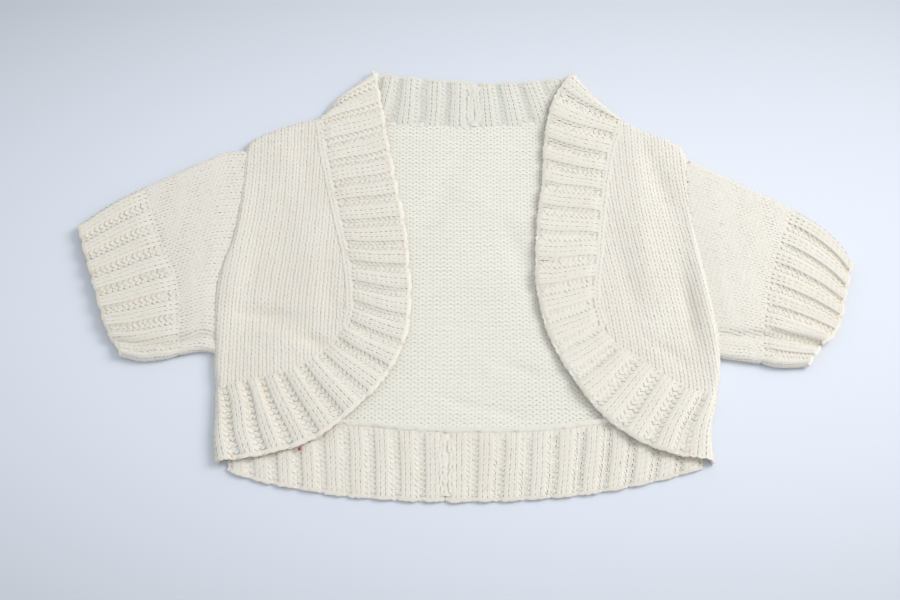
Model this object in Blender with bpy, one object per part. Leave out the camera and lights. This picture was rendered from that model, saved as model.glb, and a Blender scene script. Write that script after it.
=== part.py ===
# A child's open-front knit cardigan, short and short-sleeved, laid flat on a table.
# The back lies underneath with its inside up. The fronts, their ribbed bands and the
# tops of the sleeves lie over it, and every fold rolls down to the table.
# Sizes are in millimetres until a mesh is made: x across, y towards the neck, z up.

import math
from collections import namedtuple

import bpy
import numpy as np

COLLECTION = "knit_cardigan"
MM = 0.001

# Cloth
WALL = 2.4  # thickness of the knit cloth
RIB_RISE = 1.4  # how far a rib stands above the valley beside it
EDGE_SCALLOP = 0.9  # how far a rib's end stands out of a cast-off edge
BAND_ROWS = (0, 0.3, 0.66, 1)  # points across a band, as shares from its seam
END_BOW_FADE = 8  # how soon a band's ribs turn from its end's bow to straight
SEAM_GAP = 0.3  # left between two pieces that are sewn together
HEM_RIBS_LEFT = 9
HEM_RIBS_RIGHT = 10
NECK_RIBS_LEFT = 4
NECK_RIBS_RIGHT = 4
CUFF_RIBS = 7

# Heights of the layers above the table
BACK_TOP = 2.6
FRONT_TOP = 5.8  # a front where it lies on the plain back
FRONT_TOP_OVER_RIBS = 6.9  # and where it lies on the hem band or the neck band
OVER_HEM_FROM, OVER_HEM_FULL = -60.0, -84.0
OVER_NECK_FROM, OVER_NECK_FULL = 92.0, 110.0
FOLD_RADIUS = 4.5  # outer radius of the roll where a front turns down to the table
BACK_INSET = 4.4  # the lower layer stops this far inside the fold
CORNER_POINTS = 3  # points left out where the back's neck seam turns into its shoulder
PAST_THE_FOLD = 10.0  # how far the folded edge's line runs on past its two ends

Spot = namedtuple("Spot", "x y")
Swell = namedtuple("Swell", "x y length width turn rise")
Section = namedtuple("Section", "along edge crown crease_from_fold crease_depth")
Ridge = namedtuple("Ridge", "from_seam rise")
Ring = namedtuple("Ring", "out top inner_out inner_top rib")

# One side of the body's folded edge: from the neck's corner along the band, the
# shoulder, the armhole and the side to the hem's corner. Columns: x, y.
BODY_FOLD = {
    "left": {
        "band": [Spot(-60, 164), Spot(-71, 154), Spot(-84, 142), Spot(-99, 125)],
        "shoulder": [Spot(-116, 119), Spot(-133, 112), Spot(-146, 104)],
        "armhole": [
            Spot(-150, 96), Spot(-151, 71), Spot(-152, 46), Spot(-155, 23),
            Spot(-161, 4), Spot(-164, -16), Spot(-163, -38), Spot(-161, -62),
        ],
        "side": [Spot(-160, -76), Spot(-158, -88)],
        "hem": [Spot(-157, -104), Spot(-157, -121), Spot(-155, -138)],
    },
    "right": {
        "band": [Spot(78, 162), Spot(86, 149), Spot(96, 136), Spot(110, 122)],
        "shoulder": [Spot(127, 111), Spot(142, 105), Spot(151, 98)],
        "armhole": [
            Spot(154, 89), Spot(154, 62), Spot(155, 38), Spot(157, 15),
            Spot(160, -8), Spot(163, -31), Spot(165, -48), Spot(165, -64),
        ],
        "side": [Spot(164, -78), Spot(161, -92)],
        "hem": [Spot(157, -108), Spot(155, -120), Spot(156, -138)],
    },
}

# The seam between a front and its band, from the shoulder fold to its lower bend
# and on to the side. Columns: x, y.
FRONT_SEAM = {
    "left": {
        "down": [
            Spot(-95, 100), Spot(-90, 74), Spot(-84, 46), Spot(-77, 15),
            Spot(-73, -16), Spot(-73, -35), Spot(-80, -49),
        ],
        "round": [Spot(-91, -61), Spot(-104, -72), Spot(-119, -78), Spot(-140, -83)],
    },
    "right": {
        "down": [
            Spot(101, 100), Spot(95, 70), Spot(91, 38), Spot(88, 10),
            Spot(85, -18), Spot(88, -40), Spot(96, -54),
        ],
        "round": [Spot(107, -63), Spot(120, -73), Spot(134, -84), Spot(148, -91)],
    },
}

# The free edge of a front band, from the neck's corner to the hem's. Columns: x, y.
BAND_EDGE = {
    "left": [
        Spot(-59, 140), Spot(-54, 108), Spot(-48, 74), Spot(-42, 44), Spot(-38, 12),
        Spot(-36, -22), Spot(-39, -50), Spot(-50, -77), Spot(-70, -101),
        Spot(-94, -122), Spot(-124, -133),
    ],
    "right": [
        Spot(68, 145), Spot(61, 125), Spot(57, 100), Spot(55, 70), Spot(51, 38),
        Spot(49, 6), Spot(50, -20), Spot(56, -48), Spot(68, -75), Spot(85, -102),
        Spot(107, -122), Spot(132, -133),
    ],
}

# Where the valleys between the front band's ribs start on the seam and where they
# end on the free edge, as shares of the two lengths, counted from the neck.
RIB_FAN = {
    "left": {
        "seam": [
            0, 0.045, 0.113, 0.174, 0.233, 0.288, 0.347, 0.406, 0.464, 0.517, 0.571, 0.624,
            0.676, 0.727, 0.781, 0.832, 0.876, 0.916, 0.965, 1,
        ],
        "edge": [
            0, 0.097, 0.150, 0.201, 0.249, 0.297, 0.348, 0.399, 0.446, 0.496, 0.546, 0.598,
            0.654, 0.712, 0.769, 0.820, 0.866, 0.910, 0.954, 1,
        ],
    },
    "right": {
        "seam": [
            0, 0.038, 0.085, 0.150, 0.202, 0.260, 0.326, 0.390, 0.456, 0.516, 0.575, 0.640,
            0.708, 0.770, 0.828, 0.888, 0.945, 1,
        ],
        "edge": [
            0, 0.074, 0.138, 0.189, 0.235, 0.283, 0.337, 0.392, 0.452, 0.511, 0.569, 0.629,
            0.692, 0.755, 0.814, 0.871, 0.926, 1,
        ],
    },
}

# The rolled ridge where the back meets its hem band. Columns: from_seam, rise.
HEM_RIDGE = [Ridge(6.0, 0.0), Ridge(3.0, 1.6), Ridge(1.25, 1.5), Ridge(0.0, 0.64)]

# The back's hem, its seam with the back panel, and the neck. Columns: x, y.
HEM_SEAM_X = -12.0
NECK_SEAM_X = 8.0
HEM_EDGE = [
    Spot(-147, -142), Spot(-135, -147), Spot(-111, -153), Spot(-76, -159),
    Spot(-40, -162), Spot(11, -163), Spot(54, -160.5), Spot(89, -156),
    Spot(124, -148), Spot(148, -141),
]
BACK_HEM_SEAM = [
    Spot(-153, -90), Spot(-122, -104), Spot(-90, -111), Spot(-62, -114),
    Spot(-30, -117), Spot(0, -118), Spot(50, -117), Spot(88, -112),
    Spot(122, -104), Spot(156, -93),
]
NECK_EDGE = [
    Spot(-56, 161), Spot(-42, 159), Spot(-16, 156), Spot(9, 154), Spot(40, 154),
    Spot(63, 157), Spot(74, 159),
]
BACK_NECK_SEAM = [
    Spot(-95, 119), Spot(-68, 120), Spot(-49, 120), Spot(-20, 118), Spot(6, 117),
    Spot(33, 118), Spot(54, 120), Spot(80, 120), Spot(106, 119),
]
# The neck band's two ends lie hidden under the fronts: there the cloth is plain and
# narrows towards the neck's corners. Shares of the seam and of the edge.
HIDDEN_NECK_RIBS = 2
NECK_FAN = {
    "left": {"seam": [0, 0.42, 1], "edge": [0, 0.10, 1], "ribbed": (0.33, 1)},
    "right": {"seam": [0, 0.50, 1], "edge": [0, 0.84, 1], "ribbed": (0, 0.67)},
}
PLAIN_FAN = {"seam": [0, 1], "edge": [0, 1], "ribbed": (0, 1)}

# Sleeves: the folded edges, the seam with the cuff and the cuff's open end, each
# from the shoulder side down. Columns: x, y.
SLEEVE = {
    "left": {
        "top_fold": [Spot(-163, 95), Spot(-180, 87), Spot(-199, 76)],
        "bottom_fold": [Spot(-170, -63), Spot(-178, -64)],
        "cuff_seam": [
            Spot(-216, 66), Spot(-208, 40), Spot(-199, 16), Spot(-189, -8),
            Spot(-185, -34), Spot(-184, -65),
        ],
        "cuff_top_fold": [Spot(-233, 56), Spot(-247, 45)],
        "cuff_bottom_fold": [Spot(-196, -67), Spot(-206, -69)],
        "cuff_end": [
            Spot(-257, 36), Spot(-251, 16), Spot(-243, -6), Spot(-236, -26),
            Spot(-228, -46), Spot(-214, -67),
        ],
    },
    "right": {
        "top_fold": [Spot(168, 81), Spot(184, 72), Spot(205, 59)],
        "bottom_fold": [Spot(174, -66), Spot(184, -68)],
        "cuff_seam": [
            Spot(222, 48), Spot(213, 29), Spot(206, 9), Spot(200, -12),
            Spot(195, -36), Spot(191, -69),
        ],
        "cuff_top_fold": [Spot(238, 36), Spot(251, 21)],
        "cuff_bottom_fold": [Spot(203, -71), Spot(212, -71)],
        "cuff_end": [
            Spot(257, 8), Spot(251, -8), Spot(246, -22), Spot(240, -38),
            Spot(231, -53), Spot(220, -70),
        ],
    },
}

# Across a sleeve or cuff, at shares of its length: the height at the folded edges,
# how much the middle stands higher, and the long crease above the lower fold.
# Columns: along, edge, crown, crease_from_fold, crease_depth.
SLEEVE_SECTIONS = {
    "left": [
        Section(0.0, 5.8, 0.2, 11, 0.2), Section(0.3, 6.4, 1.3, 11, 0.7),
        Section(0.7, 6.4, 1.6, 11, 1.4), Section(1.0, 6.2, 1.1, 11, 1.7),
    ],
    "right": [
        Section(0.0, 5.8, 0.2, 16, 0.3), Section(0.3, 6.4, 1.3, 17, 0.9),
        Section(0.7, 6.4, 1.6, 18, 1.5), Section(1.0, 6.2, 1.1, 20, 1.8),
    ],
}
CUFF_SECTIONS = {
    "left": [
        Section(0.0, 6.2, 1.0, 11, 1.7), Section(0.5, 6.2, 0.9, 11, 1.9),
        Section(1.0, 6.2, 0.6, 12, 1.7),
    ],
    "right": [
        Section(0.0, 6.2, 1.0, 20, 1.8), Section(0.5, 6.2, 0.9, 22, 1.9),
        Section(1.0, 6.2, 0.6, 17, 1.7),
    ],
}
CREASE_WIDTH = 3.2
CROWN_FULLNESS = 0.7

# Where the grids of points lie, as shares of a piece's width or length.
BACK_ACROSS = np.linspace(0, 1, 17)
BACK_ROWS = np.linspace(0, 0.93, 13)
FRONT_ACROSS = [0, 0.02, 0.045, 0.075, 0.115, 0.20, 0.31, 0.43, 0.55, 0.67, 0.78, 0.89, 1]
FRONT_DOWN = np.concatenate([[0, 0.009, 0.02, 0.032], np.linspace(0.05, 1, 19)])
SLEEVE_ALONG = np.linspace(0, 1, 7)
SLEEVE_UPPER = np.linspace(0, 1, 22)
CUFF_ALONG = np.linspace(0, 1, 4)
TUBE_LOWER = np.linspace(0.92, 0.08, 12)
TUBE_LINE = np.linspace(0, 1, 41)

# Soft swells of the cloth. Columns: x, y, length, width, turn in degrees, rise.
FRONT_SWELLS = {
    "left": [
        Swell(-153, 30, 52, 13, 92, 2.3), Swell(-157, -40, 40, 12, 88, 2.0),
        Swell(-104, 30, 60, 13, 100, 1.0), Swell(-128, -66, 26, 12, -8, 1.3),
        Swell(-128, 92, 26, 14, -20, 1.0),
    ],
    "right": [
        Swell(159, 5, 60, 10, 87, 2.6), Swell(163, -50, 40, 9, 94, 2.2),
        Swell(118, 20, 62, 15, 97, 1.6), Swell(118, -52, 22, 12, -40, 1.2),
        Swell(128, 98, 24, 12, -32, 0.9),
    ],
}
BACK_SWELLS = [
    Swell(-8, 20, 90, 20, 84, 0.35), Swell(36, -40, 60, 12, 112, 0.4),
    Swell(-22, -70, 46, 16, 12, 0.3),
]

CREAM = (0.79, 0.74, 0.62, 1.0)
WARM_CREAM = (0.80, 0.73, 0.60, 1.0)
INSIDE_CREAM = (0.76, 0.72, 0.61, 1.0)


# Lines on the table

def dense_line(spots, step=1.5):
    """A smooth line through the spots, with a point about every step."""
    points = np.array([(spot.x, spot.y) for spot in spots], float)
    first = 2 * points[0] - points[1]
    last = 2 * points[-1] - points[-2]
    points = np.vstack([first, points, last])
    pieces = []
    for before, start, end, after in zip(points, points[1:], points[2:], points[3:]):
        count = max(2, int(np.linalg.norm(end - start) / step))
        share = np.linspace(0, 1, count, endpoint=False)[:, None]
        slope_in, slope_out = slopes(before, start, end, after)
        pieces.append(
            (2 * share**3 - 3 * share**2 + 1) * start
            + (share**3 - 2 * share**2 + share) * slope_in
            + (3 * share**2 - 2 * share**3) * end
            + (share**3 - share**2) * slope_out
        )
    return np.vstack(pieces + [points[-2][None, :]])


def slopes(before, start, end, after):
    """How a smooth line leaves one spot and reaches the next, without overshooting."""
    stretches = (start - before, end - start, after - end)
    first, middle, last = (math.sqrt(np.linalg.norm(stretch)) for stretch in stretches)
    leaving = (start - before) / first - (end - before) / (first + middle) + (end - start) / middle
    reaching = (end - start) / middle - (after - start) / (middle + last) + (after - end) / last
    return leaving * middle, reaching * middle


def lengths(line):
    """Distance along the line to each of its points."""
    steps = np.linalg.norm(np.diff(line, axis=0), axis=1)
    return np.concatenate([[0.0], np.cumsum(steps)])


def at(line, shares):
    """Points at shares of the line's length."""
    run = lengths(line)
    wanted = np.asarray(shares) * run[-1]
    return np.stack([np.interp(wanted, run, line[:, 0]), np.interp(wanted, run, line[:, 1])], axis=-1)


def left_normals(line):
    """Unit vectors to the left of the line's direction."""
    ways = np.gradient(line, axis=0)
    ways /= np.linalg.norm(ways, axis=1)[:, None]
    return np.stack([-ways[:, 1], ways[:, 0]], axis=1)


def shifted(line, distance):
    """The line moved to its left."""
    return line + left_normals(line) * np.reshape(distance, (-1, 1))


def part_of(line, start, end):
    """The stretch of a dense line between the points nearest to two spots."""
    first = np.argmin(np.linalg.norm(line - (start.x, start.y), axis=1))
    last = np.argmin(np.linalg.norm(line - (end.x, end.y), axis=1))
    return line[first : last + 1]


def four_sided(top, bottom, left, right, across, down):
    """A sheet between four lines, as a grid of x and y: across x down x 2."""
    a = np.asarray(across)[:, None, None]
    b = np.asarray(down)[None, :, None]
    along_top, along_bottom = at(top, across)[:, None, :], at(bottom, across)[:, None, :]
    along_left, along_right = at(left, down)[None, :, :], at(right, down)[None, :, :]
    corners = (
        (1 - a) * (1 - b) * top[0] + a * (1 - b) * top[-1] + (1 - a) * b * bottom[0] + a * b * bottom[-1]
    )
    return (1 - b) * along_top + b * along_bottom + (1 - a) * along_left + a * along_right - corners


# Heights

def eased(value, start, end):
    """0 before start and 1 past end, with a soft change between."""
    share = np.clip((value - start) / (end - start), 0, 1)
    return share * share * (3 - 2 * share)


def swelling(x, y, swells):
    """The summed rise of the soft swells."""
    total = np.zeros_like(x)
    for swell in swells:
        turn = math.radians(swell.turn)
        along = (x - swell.x) * math.cos(turn) + (y - swell.y) * math.sin(turn)
        across = (y - swell.y) * math.cos(turn) - (x - swell.x) * math.sin(turn)
        total = total + swell.rise * np.exp(-((along / swell.length) ** 2) - (across / swell.width) ** 2)
    return total


def front_height(side, x, y):
    """Top of a front's plain cloth, and of the valleys of its band."""
    over_ribs = eased(y, OVER_HEM_FROM, OVER_HEM_FULL) + eased(y, OVER_NECK_FROM, OVER_NECK_FULL)
    base = FRONT_TOP + (FRONT_TOP_OVER_RIBS - FRONT_TOP) * over_ribs
    return base + swelling(x, y, FRONT_SWELLS[side])


def rib_shape(phase):
    """0 in the valleys at the ends of a rib's width, 1 on its crest."""
    from_valley = 0.5 - np.abs(phase - 0.5)
    return eased(from_valley, 0.08, 0.30)


def rib_stations(count):
    """Shares of a band's length that show its ribs, with the phase at each."""
    phases = np.array([0.0, 0.15, 0.29, 0.5, 0.71, 0.85])
    shares = np.concatenate([(rib + phases) / count for rib in range(count)] + [[1.0]])
    return shares, np.append(np.tile(phases, count), 0.0)


# Folding a flat sheet down at the body's edge

def body_fold(side):
    """The folded edge, with the garment on its left, and a short run past both ends."""
    spots = [spot for stretch in BODY_FOLD[side].values() for spot in stretch]
    line = dense_line(spots)
    start = line[0] + PAST_THE_FOLD * (line[0] - line[1]) / np.linalg.norm(line[0] - line[1])
    end = line[-1] + PAST_THE_FOLD * (line[-1] - line[-2]) / np.linalg.norm(line[-1] - line[-2])
    line = np.vstack([start[None], line, end[None]])
    return line if side == "left" else line[::-1]


def nearest_on(line, points):
    """For each point: the nearest place on the line, the normal there, and the distance inside."""
    normals = left_normals(line)
    starts, steps = line[:-1], np.diff(line, axis=0)
    flat = points.reshape(-1, 2)
    share = np.einsum("psk,sk->ps", flat[:, None, :] - starts, steps) / (steps**2).sum(axis=1)
    share = np.clip(share, 0, 1)
    places = starts + share[..., None] * steps
    best = np.argmin(np.linalg.norm(flat[:, None, :] - places, axis=2), axis=1)
    row = np.arange(len(flat))
    place, part = places[row, best], share[row, best][:, None]
    normal = (1 - part) * normals[best] + part * normals[best + 1]
    normal /= np.linalg.norm(normal, axis=1)[:, None]
    inside = ((flat - place) * normal).sum(axis=1)
    shape = points.shape[:-1]
    return place.reshape(*shape, 2), normal.reshape(*shape, 2), inside.reshape(shape)


def fold_reach(side, line):
    """How far the flat cloth runs past the fold to reach the table."""
    height = front_height(side, line[:, 0], line[:, 1])
    return (math.pi / 2 - 1) * FOLD_RADIUS + height - FOLD_RADIUS


def fold_over(side, flat):
    """Lays flat cloth over the body's edge: points and their outward normals."""
    place, inward, inside = nearest_on(body_fold(side), flat)
    run = inside + (math.pi / 2 - 1) * FOLD_RADIUS
    angle = np.clip(run / FOLD_RADIUS, 0, math.pi / 2)
    on_roll = (run < FOLD_RADIUS * math.pi / 2)[..., None]
    plan = np.where(on_roll, place + inward * (FOLD_RADIUS * (1 - np.cos(angle)))[..., None], flat)
    height = front_height(side, plan[..., 0], plan[..., 1])
    z = height - FOLD_RADIUS * (1 - np.sin(angle)) + np.minimum(run, 0)
    z = np.maximum(z, 0)
    normals = np.concatenate([-inward * np.cos(angle)[..., None], np.sin(angle)[..., None]], axis=-1)
    return np.concatenate([plan, z[..., None]], axis=-1), normals


# Solids

def cloth_material(name, colour):
    material = bpy.data.materials.new(name)
    material.use_nodes = True
    shader = material.node_tree.nodes["Principled BSDF"]
    shader.inputs["Base Color"].default_value = colour
    shader.inputs["Roughness"].default_value = 0.95
    shader.inputs["Metallic"].default_value = 0.0
    return material


def make_wall(name, outer, inner, colour, ring=False):
    """A closed wall between two grids of points. A ring closes on itself across."""
    across, down = outer.shape[:2]
    corners = np.vstack([outer.reshape(-1, 3), inner.reshape(-1, 3)]) * MM
    inner_start = across * down
    faces = []
    last = across if ring else across - 1
    for i in range(last):
        j = (i + 1) % across
        for k in range(down - 1):
            quad = [i * down + k, j * down + k, j * down + k + 1, i * down + k + 1]
            faces.append(quad)
            faces.append([inner_start + corner for corner in reversed(quad)])
        for k in (0, down - 1):
            rim = [i * down + k, j * down + k, inner_start + j * down + k, inner_start + i * down + k]
            faces.append(rim if k else rim[::-1])
    if not ring:
        for i in (0, across - 1):
            for k in range(down - 1):
                edge = [i * down + k, i * down + k + 1]
                rim = [edge[0], edge[1], inner_start + edge[1], inner_start + edge[0]]
                faces.append(rim[::-1] if i else rim)
    mesh = bpy.data.meshes.new(name)
    mesh.from_pydata([tuple(corner) for corner in corners], [], faces)
    if signed_volume(mesh) < 0:
        mesh.flip_normals()
    mesh.shade_smooth()
    mesh.set_sharp_from_angle(angle=math.radians(50))
    mesh.materials.append(cloth_material(name, colour))
    piece = bpy.data.objects.new(name, mesh)
    bpy.data.collections[COLLECTION].objects.link(piece)
    return piece


def signed_volume(mesh):
    """Positive where the faces point out."""
    total = 0.0
    for face in mesh.polygons:
        spots = [mesh.vertices[index].co for index in face.vertices]
        for second, third in zip(spots[1:], spots[2:]):
            total += spots[0].dot(second.cross(third)) / 6
    return total


# Pieces of the upper layer

def seam_lines(side):
    """The seam of a front and its band in two stretches, run out past the folds."""
    fold = body_fold(side)
    run = fold_reach(side, fold)[:, None]
    edge = fold - left_normals(fold) * run
    outline = BODY_FOLD[side]
    top = outline["band"][-1]
    low = outline["side"][-1]
    top_end = edge[np.argmin(np.linalg.norm(fold - (top.x, top.y), axis=1))]
    low_end = edge[np.argmin(np.linalg.norm(fold - (low.x, low.y), axis=1))]
    spots = FRONT_SEAM[side]["down"] + FRONT_SEAM[side]["round"]
    line = dense_line([Spot(*top_end), top] + spots + [low, Spot(*low_end)])
    return line, edge, fold


def edge_between(side, start, end):
    """The flat cloth's border past the fold, between the fold's spots."""
    _, edge, fold = seam_lines(side)
    first = np.argmin(np.linalg.norm(fold - (start.x, start.y), axis=1))
    last = np.argmin(np.linalg.norm(fold - (end.x, end.y), axis=1))
    if first <= last:
        return edge[first : last + 1]
    return edge[last : first + 1][::-1]


def make_front(side):
    """One front: plain cloth from the shoulder and armhole to the band's seam."""
    outline = BODY_FOLD[side]
    tip = outline["shoulder"][-1]
    seam, _, _ = seam_lines(side)
    towards_front = -SEAM_GAP / 2 if side == "left" else SEAM_GAP / 2
    seam = shifted(seam, towards_front)
    bend = FRONT_SEAM[side]["down"][-1]
    bend_index = np.argmin(np.linalg.norm(seam - (bend.x, bend.y), axis=1))
    shoulder = edge_between(side, tip, outline["band"][-1])
    outer = edge_between(side, tip, outline["side"][-1])
    inner_edge = seam[: bend_index + 1]
    lower_edge = seam[bend_index:][::-1]
    shoulder[-1], outer[-1] = inner_edge[0], lower_edge[0]
    flat = four_sided(shoulder, lower_edge, outer, inner_edge, FRONT_ACROSS, FRONT_DOWN)
    top, normals = fold_over(side, flat)
    make_wall(f"front_{side}", top, top - normals * WALL, CREAM)


def make_front_band(side):
    """The ribbed band of one front, from the neck's corner round to the side."""
    outline = BODY_FOLD[side]
    seam, _, _ = seam_lines(side)
    towards_band = SEAM_GAP / 2 if side == "left" else -SEAM_GAP / 2
    seam = shifted(seam, towards_band)
    neck_end = edge_between(side, outline["band"][-1], outline["band"][0])
    hem_end = edge_between(side, outline["side"][-1], outline["hem"][-1])
    neck_end[0], hem_end[0] = seam[0], seam[-1]
    free_edge = dense_line([Spot(*neck_end[-1])] + BAND_EDGE[side] + [Spot(*hem_end[-1])])
    fan = RIB_FAN[side]
    valleys = np.linspace(0, 1, len(fan["seam"]))
    shares, phases = rib_stations(len(valleys) - 1)
    along_seam = at(seam, np.interp(shares, valleys, fan["seam"]))
    along_edge = at(free_edge, np.interp(shares, valleys, fan["edge"]))
    flat = between(along_seam, along_edge, neck_end, hem_end, shares, BAND_ROWS)
    ribs = rib_shape(phases)
    outward = along_edge - along_seam
    outward /= np.linalg.norm(outward, axis=1)[:, None]
    flat[:, -1] += outward * (EDGE_SCALLOP * ribs)[:, None]
    top, normals = fold_over(side, flat)
    raised = top + normals * (RIB_RISE * ribs)[:, None, None]
    raised[..., 2] = np.maximum(raised[..., 2], 0)
    make_wall(f"band_front_{side}", raised, top - normals * WALL, WARM_CREAM)


def between(first, second, start, end, shares, down):
    """A sheet from one row of points to another, its two ends following lines."""
    a = np.asarray(shares)[:, None, None]
    b = np.asarray(down)[None, :, None]
    straight = (1 - b) * first[:, None, :] + b * second[:, None, :]
    start_bow = at(start, down) - ((1 - b[0]) * start[0] + b[0] * start[-1])
    end_bow = at(end, down) - ((1 - b[0]) * end[0] + b[0] * end[-1])
    return straight + (1 - a) ** END_BOW_FADE * start_bow[None] + a**END_BOW_FADE * end_bow[None]


# Pieces of the lower layer

def inset_fold(side):
    return shifted(body_fold(side), BACK_INSET)


def back_height(x, y):
    return BACK_TOP + swelling(x, y, BACK_SWELLS)


def make_flat_wall(name, plan, top, colour):
    """A wall on the table: a flat underside and a shaped top over the same plan."""
    outer = np.concatenate([plan, top[..., None]], axis=-1)
    inner = np.concatenate([plan, np.zeros_like(top)[..., None]], axis=-1)
    make_wall(name, outer, inner, colour)


def make_back():
    """The back, inside up, with the rolled ridge along its hem seam."""
    seam = shifted(dense_line(BACK_HEM_SEAM), SEAM_GAP / 2)
    neck = dense_line(BACK_NECK_SEAM)
    left, right = inset_fold("left"), inset_fold("right")[::-1]
    left = part_of(left, BODY_FOLD["left"]["shoulder"][-1], Spot(*seam[0]))
    right = part_of(right, BODY_FOLD["right"]["shoulder"][-1], Spot(*seam[-1]))
    left_shoulder = part_of(inset_fold("left"), Spot(*neck[0]), Spot(*left[0]))[::-1]
    right_shoulder = part_of(inset_fold("right")[::-1], Spot(*neck[-1]), Spot(*right[0]))
    between_shoulders = shifted(neck, -SEAM_GAP / 2)[CORNER_POINTS:-CORNER_POINTS]
    top = np.vstack([left_shoulder, between_shoulders, right_shoulder])
    left[-1], right[-1] = seam[0], seam[-1]
    length = neck[0][1] - seam[0][1]
    ridge_rows = [1 - point.from_seam / length for point in HEM_RIDGE]
    rolled = [point.rise for point in HEM_RIDGE]
    down = np.concatenate([BACK_ROWS, ridge_rows])
    plan = four_sided(top, seam, left, right, BACK_ACROSS, down)
    height = back_height(plan[..., 0], plan[..., 1])
    height[:, len(BACK_ROWS) :] += rolled
    make_flat_wall("back_panel", plan, height, INSIDE_CREAM)


def cut_at(line, x):
    """The line's two stretches either side of x, a seam gap apart."""
    left = line[line[:, 0] < x - SEAM_GAP / 2]
    right = line[line[:, 0] > x + SEAM_GAP / 2]
    height = np.interp(x, line[:, 0], line[:, 1])
    left_end, right_end = (x - SEAM_GAP / 2, height), (x + SEAM_GAP / 2, height)
    return np.vstack([left, [left_end]]), np.vstack([[right_end], right])


def make_lower_band(name, seam, edge, ribs, fan):
    """A ribbed band on the table, from its seam to its cast-off edge."""
    shares, phases = rib_stations(ribs)
    along_seam = at(seam, shares)
    along_edge = at(edge, np.interp(shares, fan["seam"], fan["edge"]))
    first, last = fan["ribbed"]
    ribbed = rib_shape(phases) * (shares >= first) * (shares <= last)
    outward = along_edge - along_seam
    outward /= np.linalg.norm(outward, axis=1)[:, None]
    along_edge = along_edge + outward * (EDGE_SCALLOP * ribbed)[:, None]
    down = np.array(BAND_ROWS)[None, :, None]
    plan = (1 - down) * along_seam[:, None, :] + down * along_edge[:, None, :]
    top = np.broadcast_to((WALL + RIB_RISE * ribbed)[:, None], plan.shape[:2])
    make_flat_wall(name, plan, top, INSIDE_CREAM)


def make_hem_bands():
    """The back's hem band in two halves, joined at the middle of the back."""
    seam = shifted(dense_line(BACK_HEM_SEAM), -SEAM_GAP / 2)
    edge = dense_line(HEM_EDGE)
    seam_left, seam_right = cut_at(seam, HEM_SEAM_X)
    edge_left, edge_right = cut_at(edge, HEM_SEAM_X)
    make_lower_band("band_hem_left", seam_left, edge_left, HEM_RIBS_LEFT, PLAIN_FAN)
    make_lower_band("band_hem_right", seam_right, edge_right, HEM_RIBS_RIGHT, PLAIN_FAN)


def make_neck_bands():
    """The neck band in two halves, joined behind the neck. Its ends lie under the fronts."""
    seam = shifted(dense_line(BACK_NECK_SEAM), SEAM_GAP / 2)
    edge = dense_line(NECK_EDGE)
    seam_left, seam_right = cut_at(seam, NECK_SEAM_X)
    edge_left, edge_right = cut_at(edge, NECK_SEAM_X)
    ribs_left, ribs_right = NECK_RIBS_LEFT + HIDDEN_NECK_RIBS, NECK_RIBS_RIGHT + HIDDEN_NECK_RIBS
    make_lower_band("band_neck_left", seam_left, edge_left, ribs_left, NECK_FAN["left"])
    make_lower_band("band_neck_right", seam_right, edge_right, ribs_right, NECK_FAN["right"])


# Sleeves and cuffs

def section_values(sections, share):
    """The section's sizes at a share of the tube's length."""
    stations = [section.along for section in sections]
    return [np.interp(share, stations, [getattr(section, field) for section in sections])
            for field in ("edge", "crown", "crease_from_fold", "crease_depth")]


def tube_ring(width, sizes, upper_shares, rib_phases):
    """One section round a flattened tube. Both faces go over the top fold, across, over
    the lower fold and back along the table."""
    edge, crown, crease_at, crease_depth = sizes
    radius = edge / 2
    inner_radius = radius - WALL
    turns = np.radians([-90, -45, 0, 45])
    sines, cosines = np.sin(turns), np.cos(turns)
    upper = radius + upper_shares * (width - 2 * radius)
    crease = crease_depth * np.exp(-(((width - crease_at - upper) / CREASE_WIDTH) ** 2))
    upper_top = edge + crown * np.sin(math.pi * upper_shares) ** CROWN_FULLNESS - crease
    lower = radius + TUBE_LOWER * (width - 2 * radius)
    lower_top = np.zeros_like(lower)
    fold_out, fold_top = radius * (1 - cosines), radius * (1 + sines)
    inner_out, inner_top = radius - inner_radius * cosines, radius + inner_radius * sines
    return Ring(
        np.concatenate([fold_out, upper, width - fold_out[::-1], lower]),
        np.concatenate([fold_top, upper_top, fold_top[::-1], lower_top]),
        np.concatenate([inner_out, upper, width - inner_out[::-1], lower]),
        np.concatenate([inner_top, upper_top - WALL, inner_top[::-1], lower_top + WALL]),
        np.concatenate([0 * turns, rib_shape(rib_phases), 0 * turns, 0 * lower]),
    )


def across_row(row, out, height):
    """Points at distances out along a row that lies across the tube, at their heights."""
    run = lengths(row)
    return np.column_stack([np.interp(out, run, row[:, 0]), np.interp(out, run, row[:, 1]), height])


def make_tube(name, lines, sections, along, upper_shares, phases, colour, scallop=0):
    """A flattened tube between two lines across it and the two folds beside it."""
    start, end, top_fold, bottom_fold = lines
    sheet = four_sided(top_fold, bottom_fold, start, end, along, TUBE_LINE)
    outer, inner = [], []
    for row, share in zip(sheet, along):
        ring = tube_ring(lengths(row)[-1], section_values(sections, share), upper_shares, phases)
        outer.append(across_row(row, ring.out, ring.top + RIB_RISE * ring.rib))
        inner.append(across_row(row, ring.inner_out, ring.inner_top))
    outer, inner = (np.array(grid).transpose(1, 0, 2) for grid in (outer, inner))
    end_way = outer[:, -1] - outer[:, -2]
    end_way[:, 2] = 0
    end_way *= (scallop * ring.rib / np.linalg.norm(end_way, axis=1))[:, None]
    outer[:, -1] += end_way
    inner[:, -1] += end_way
    make_wall(name, outer, inner, colour, ring=True)


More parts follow.
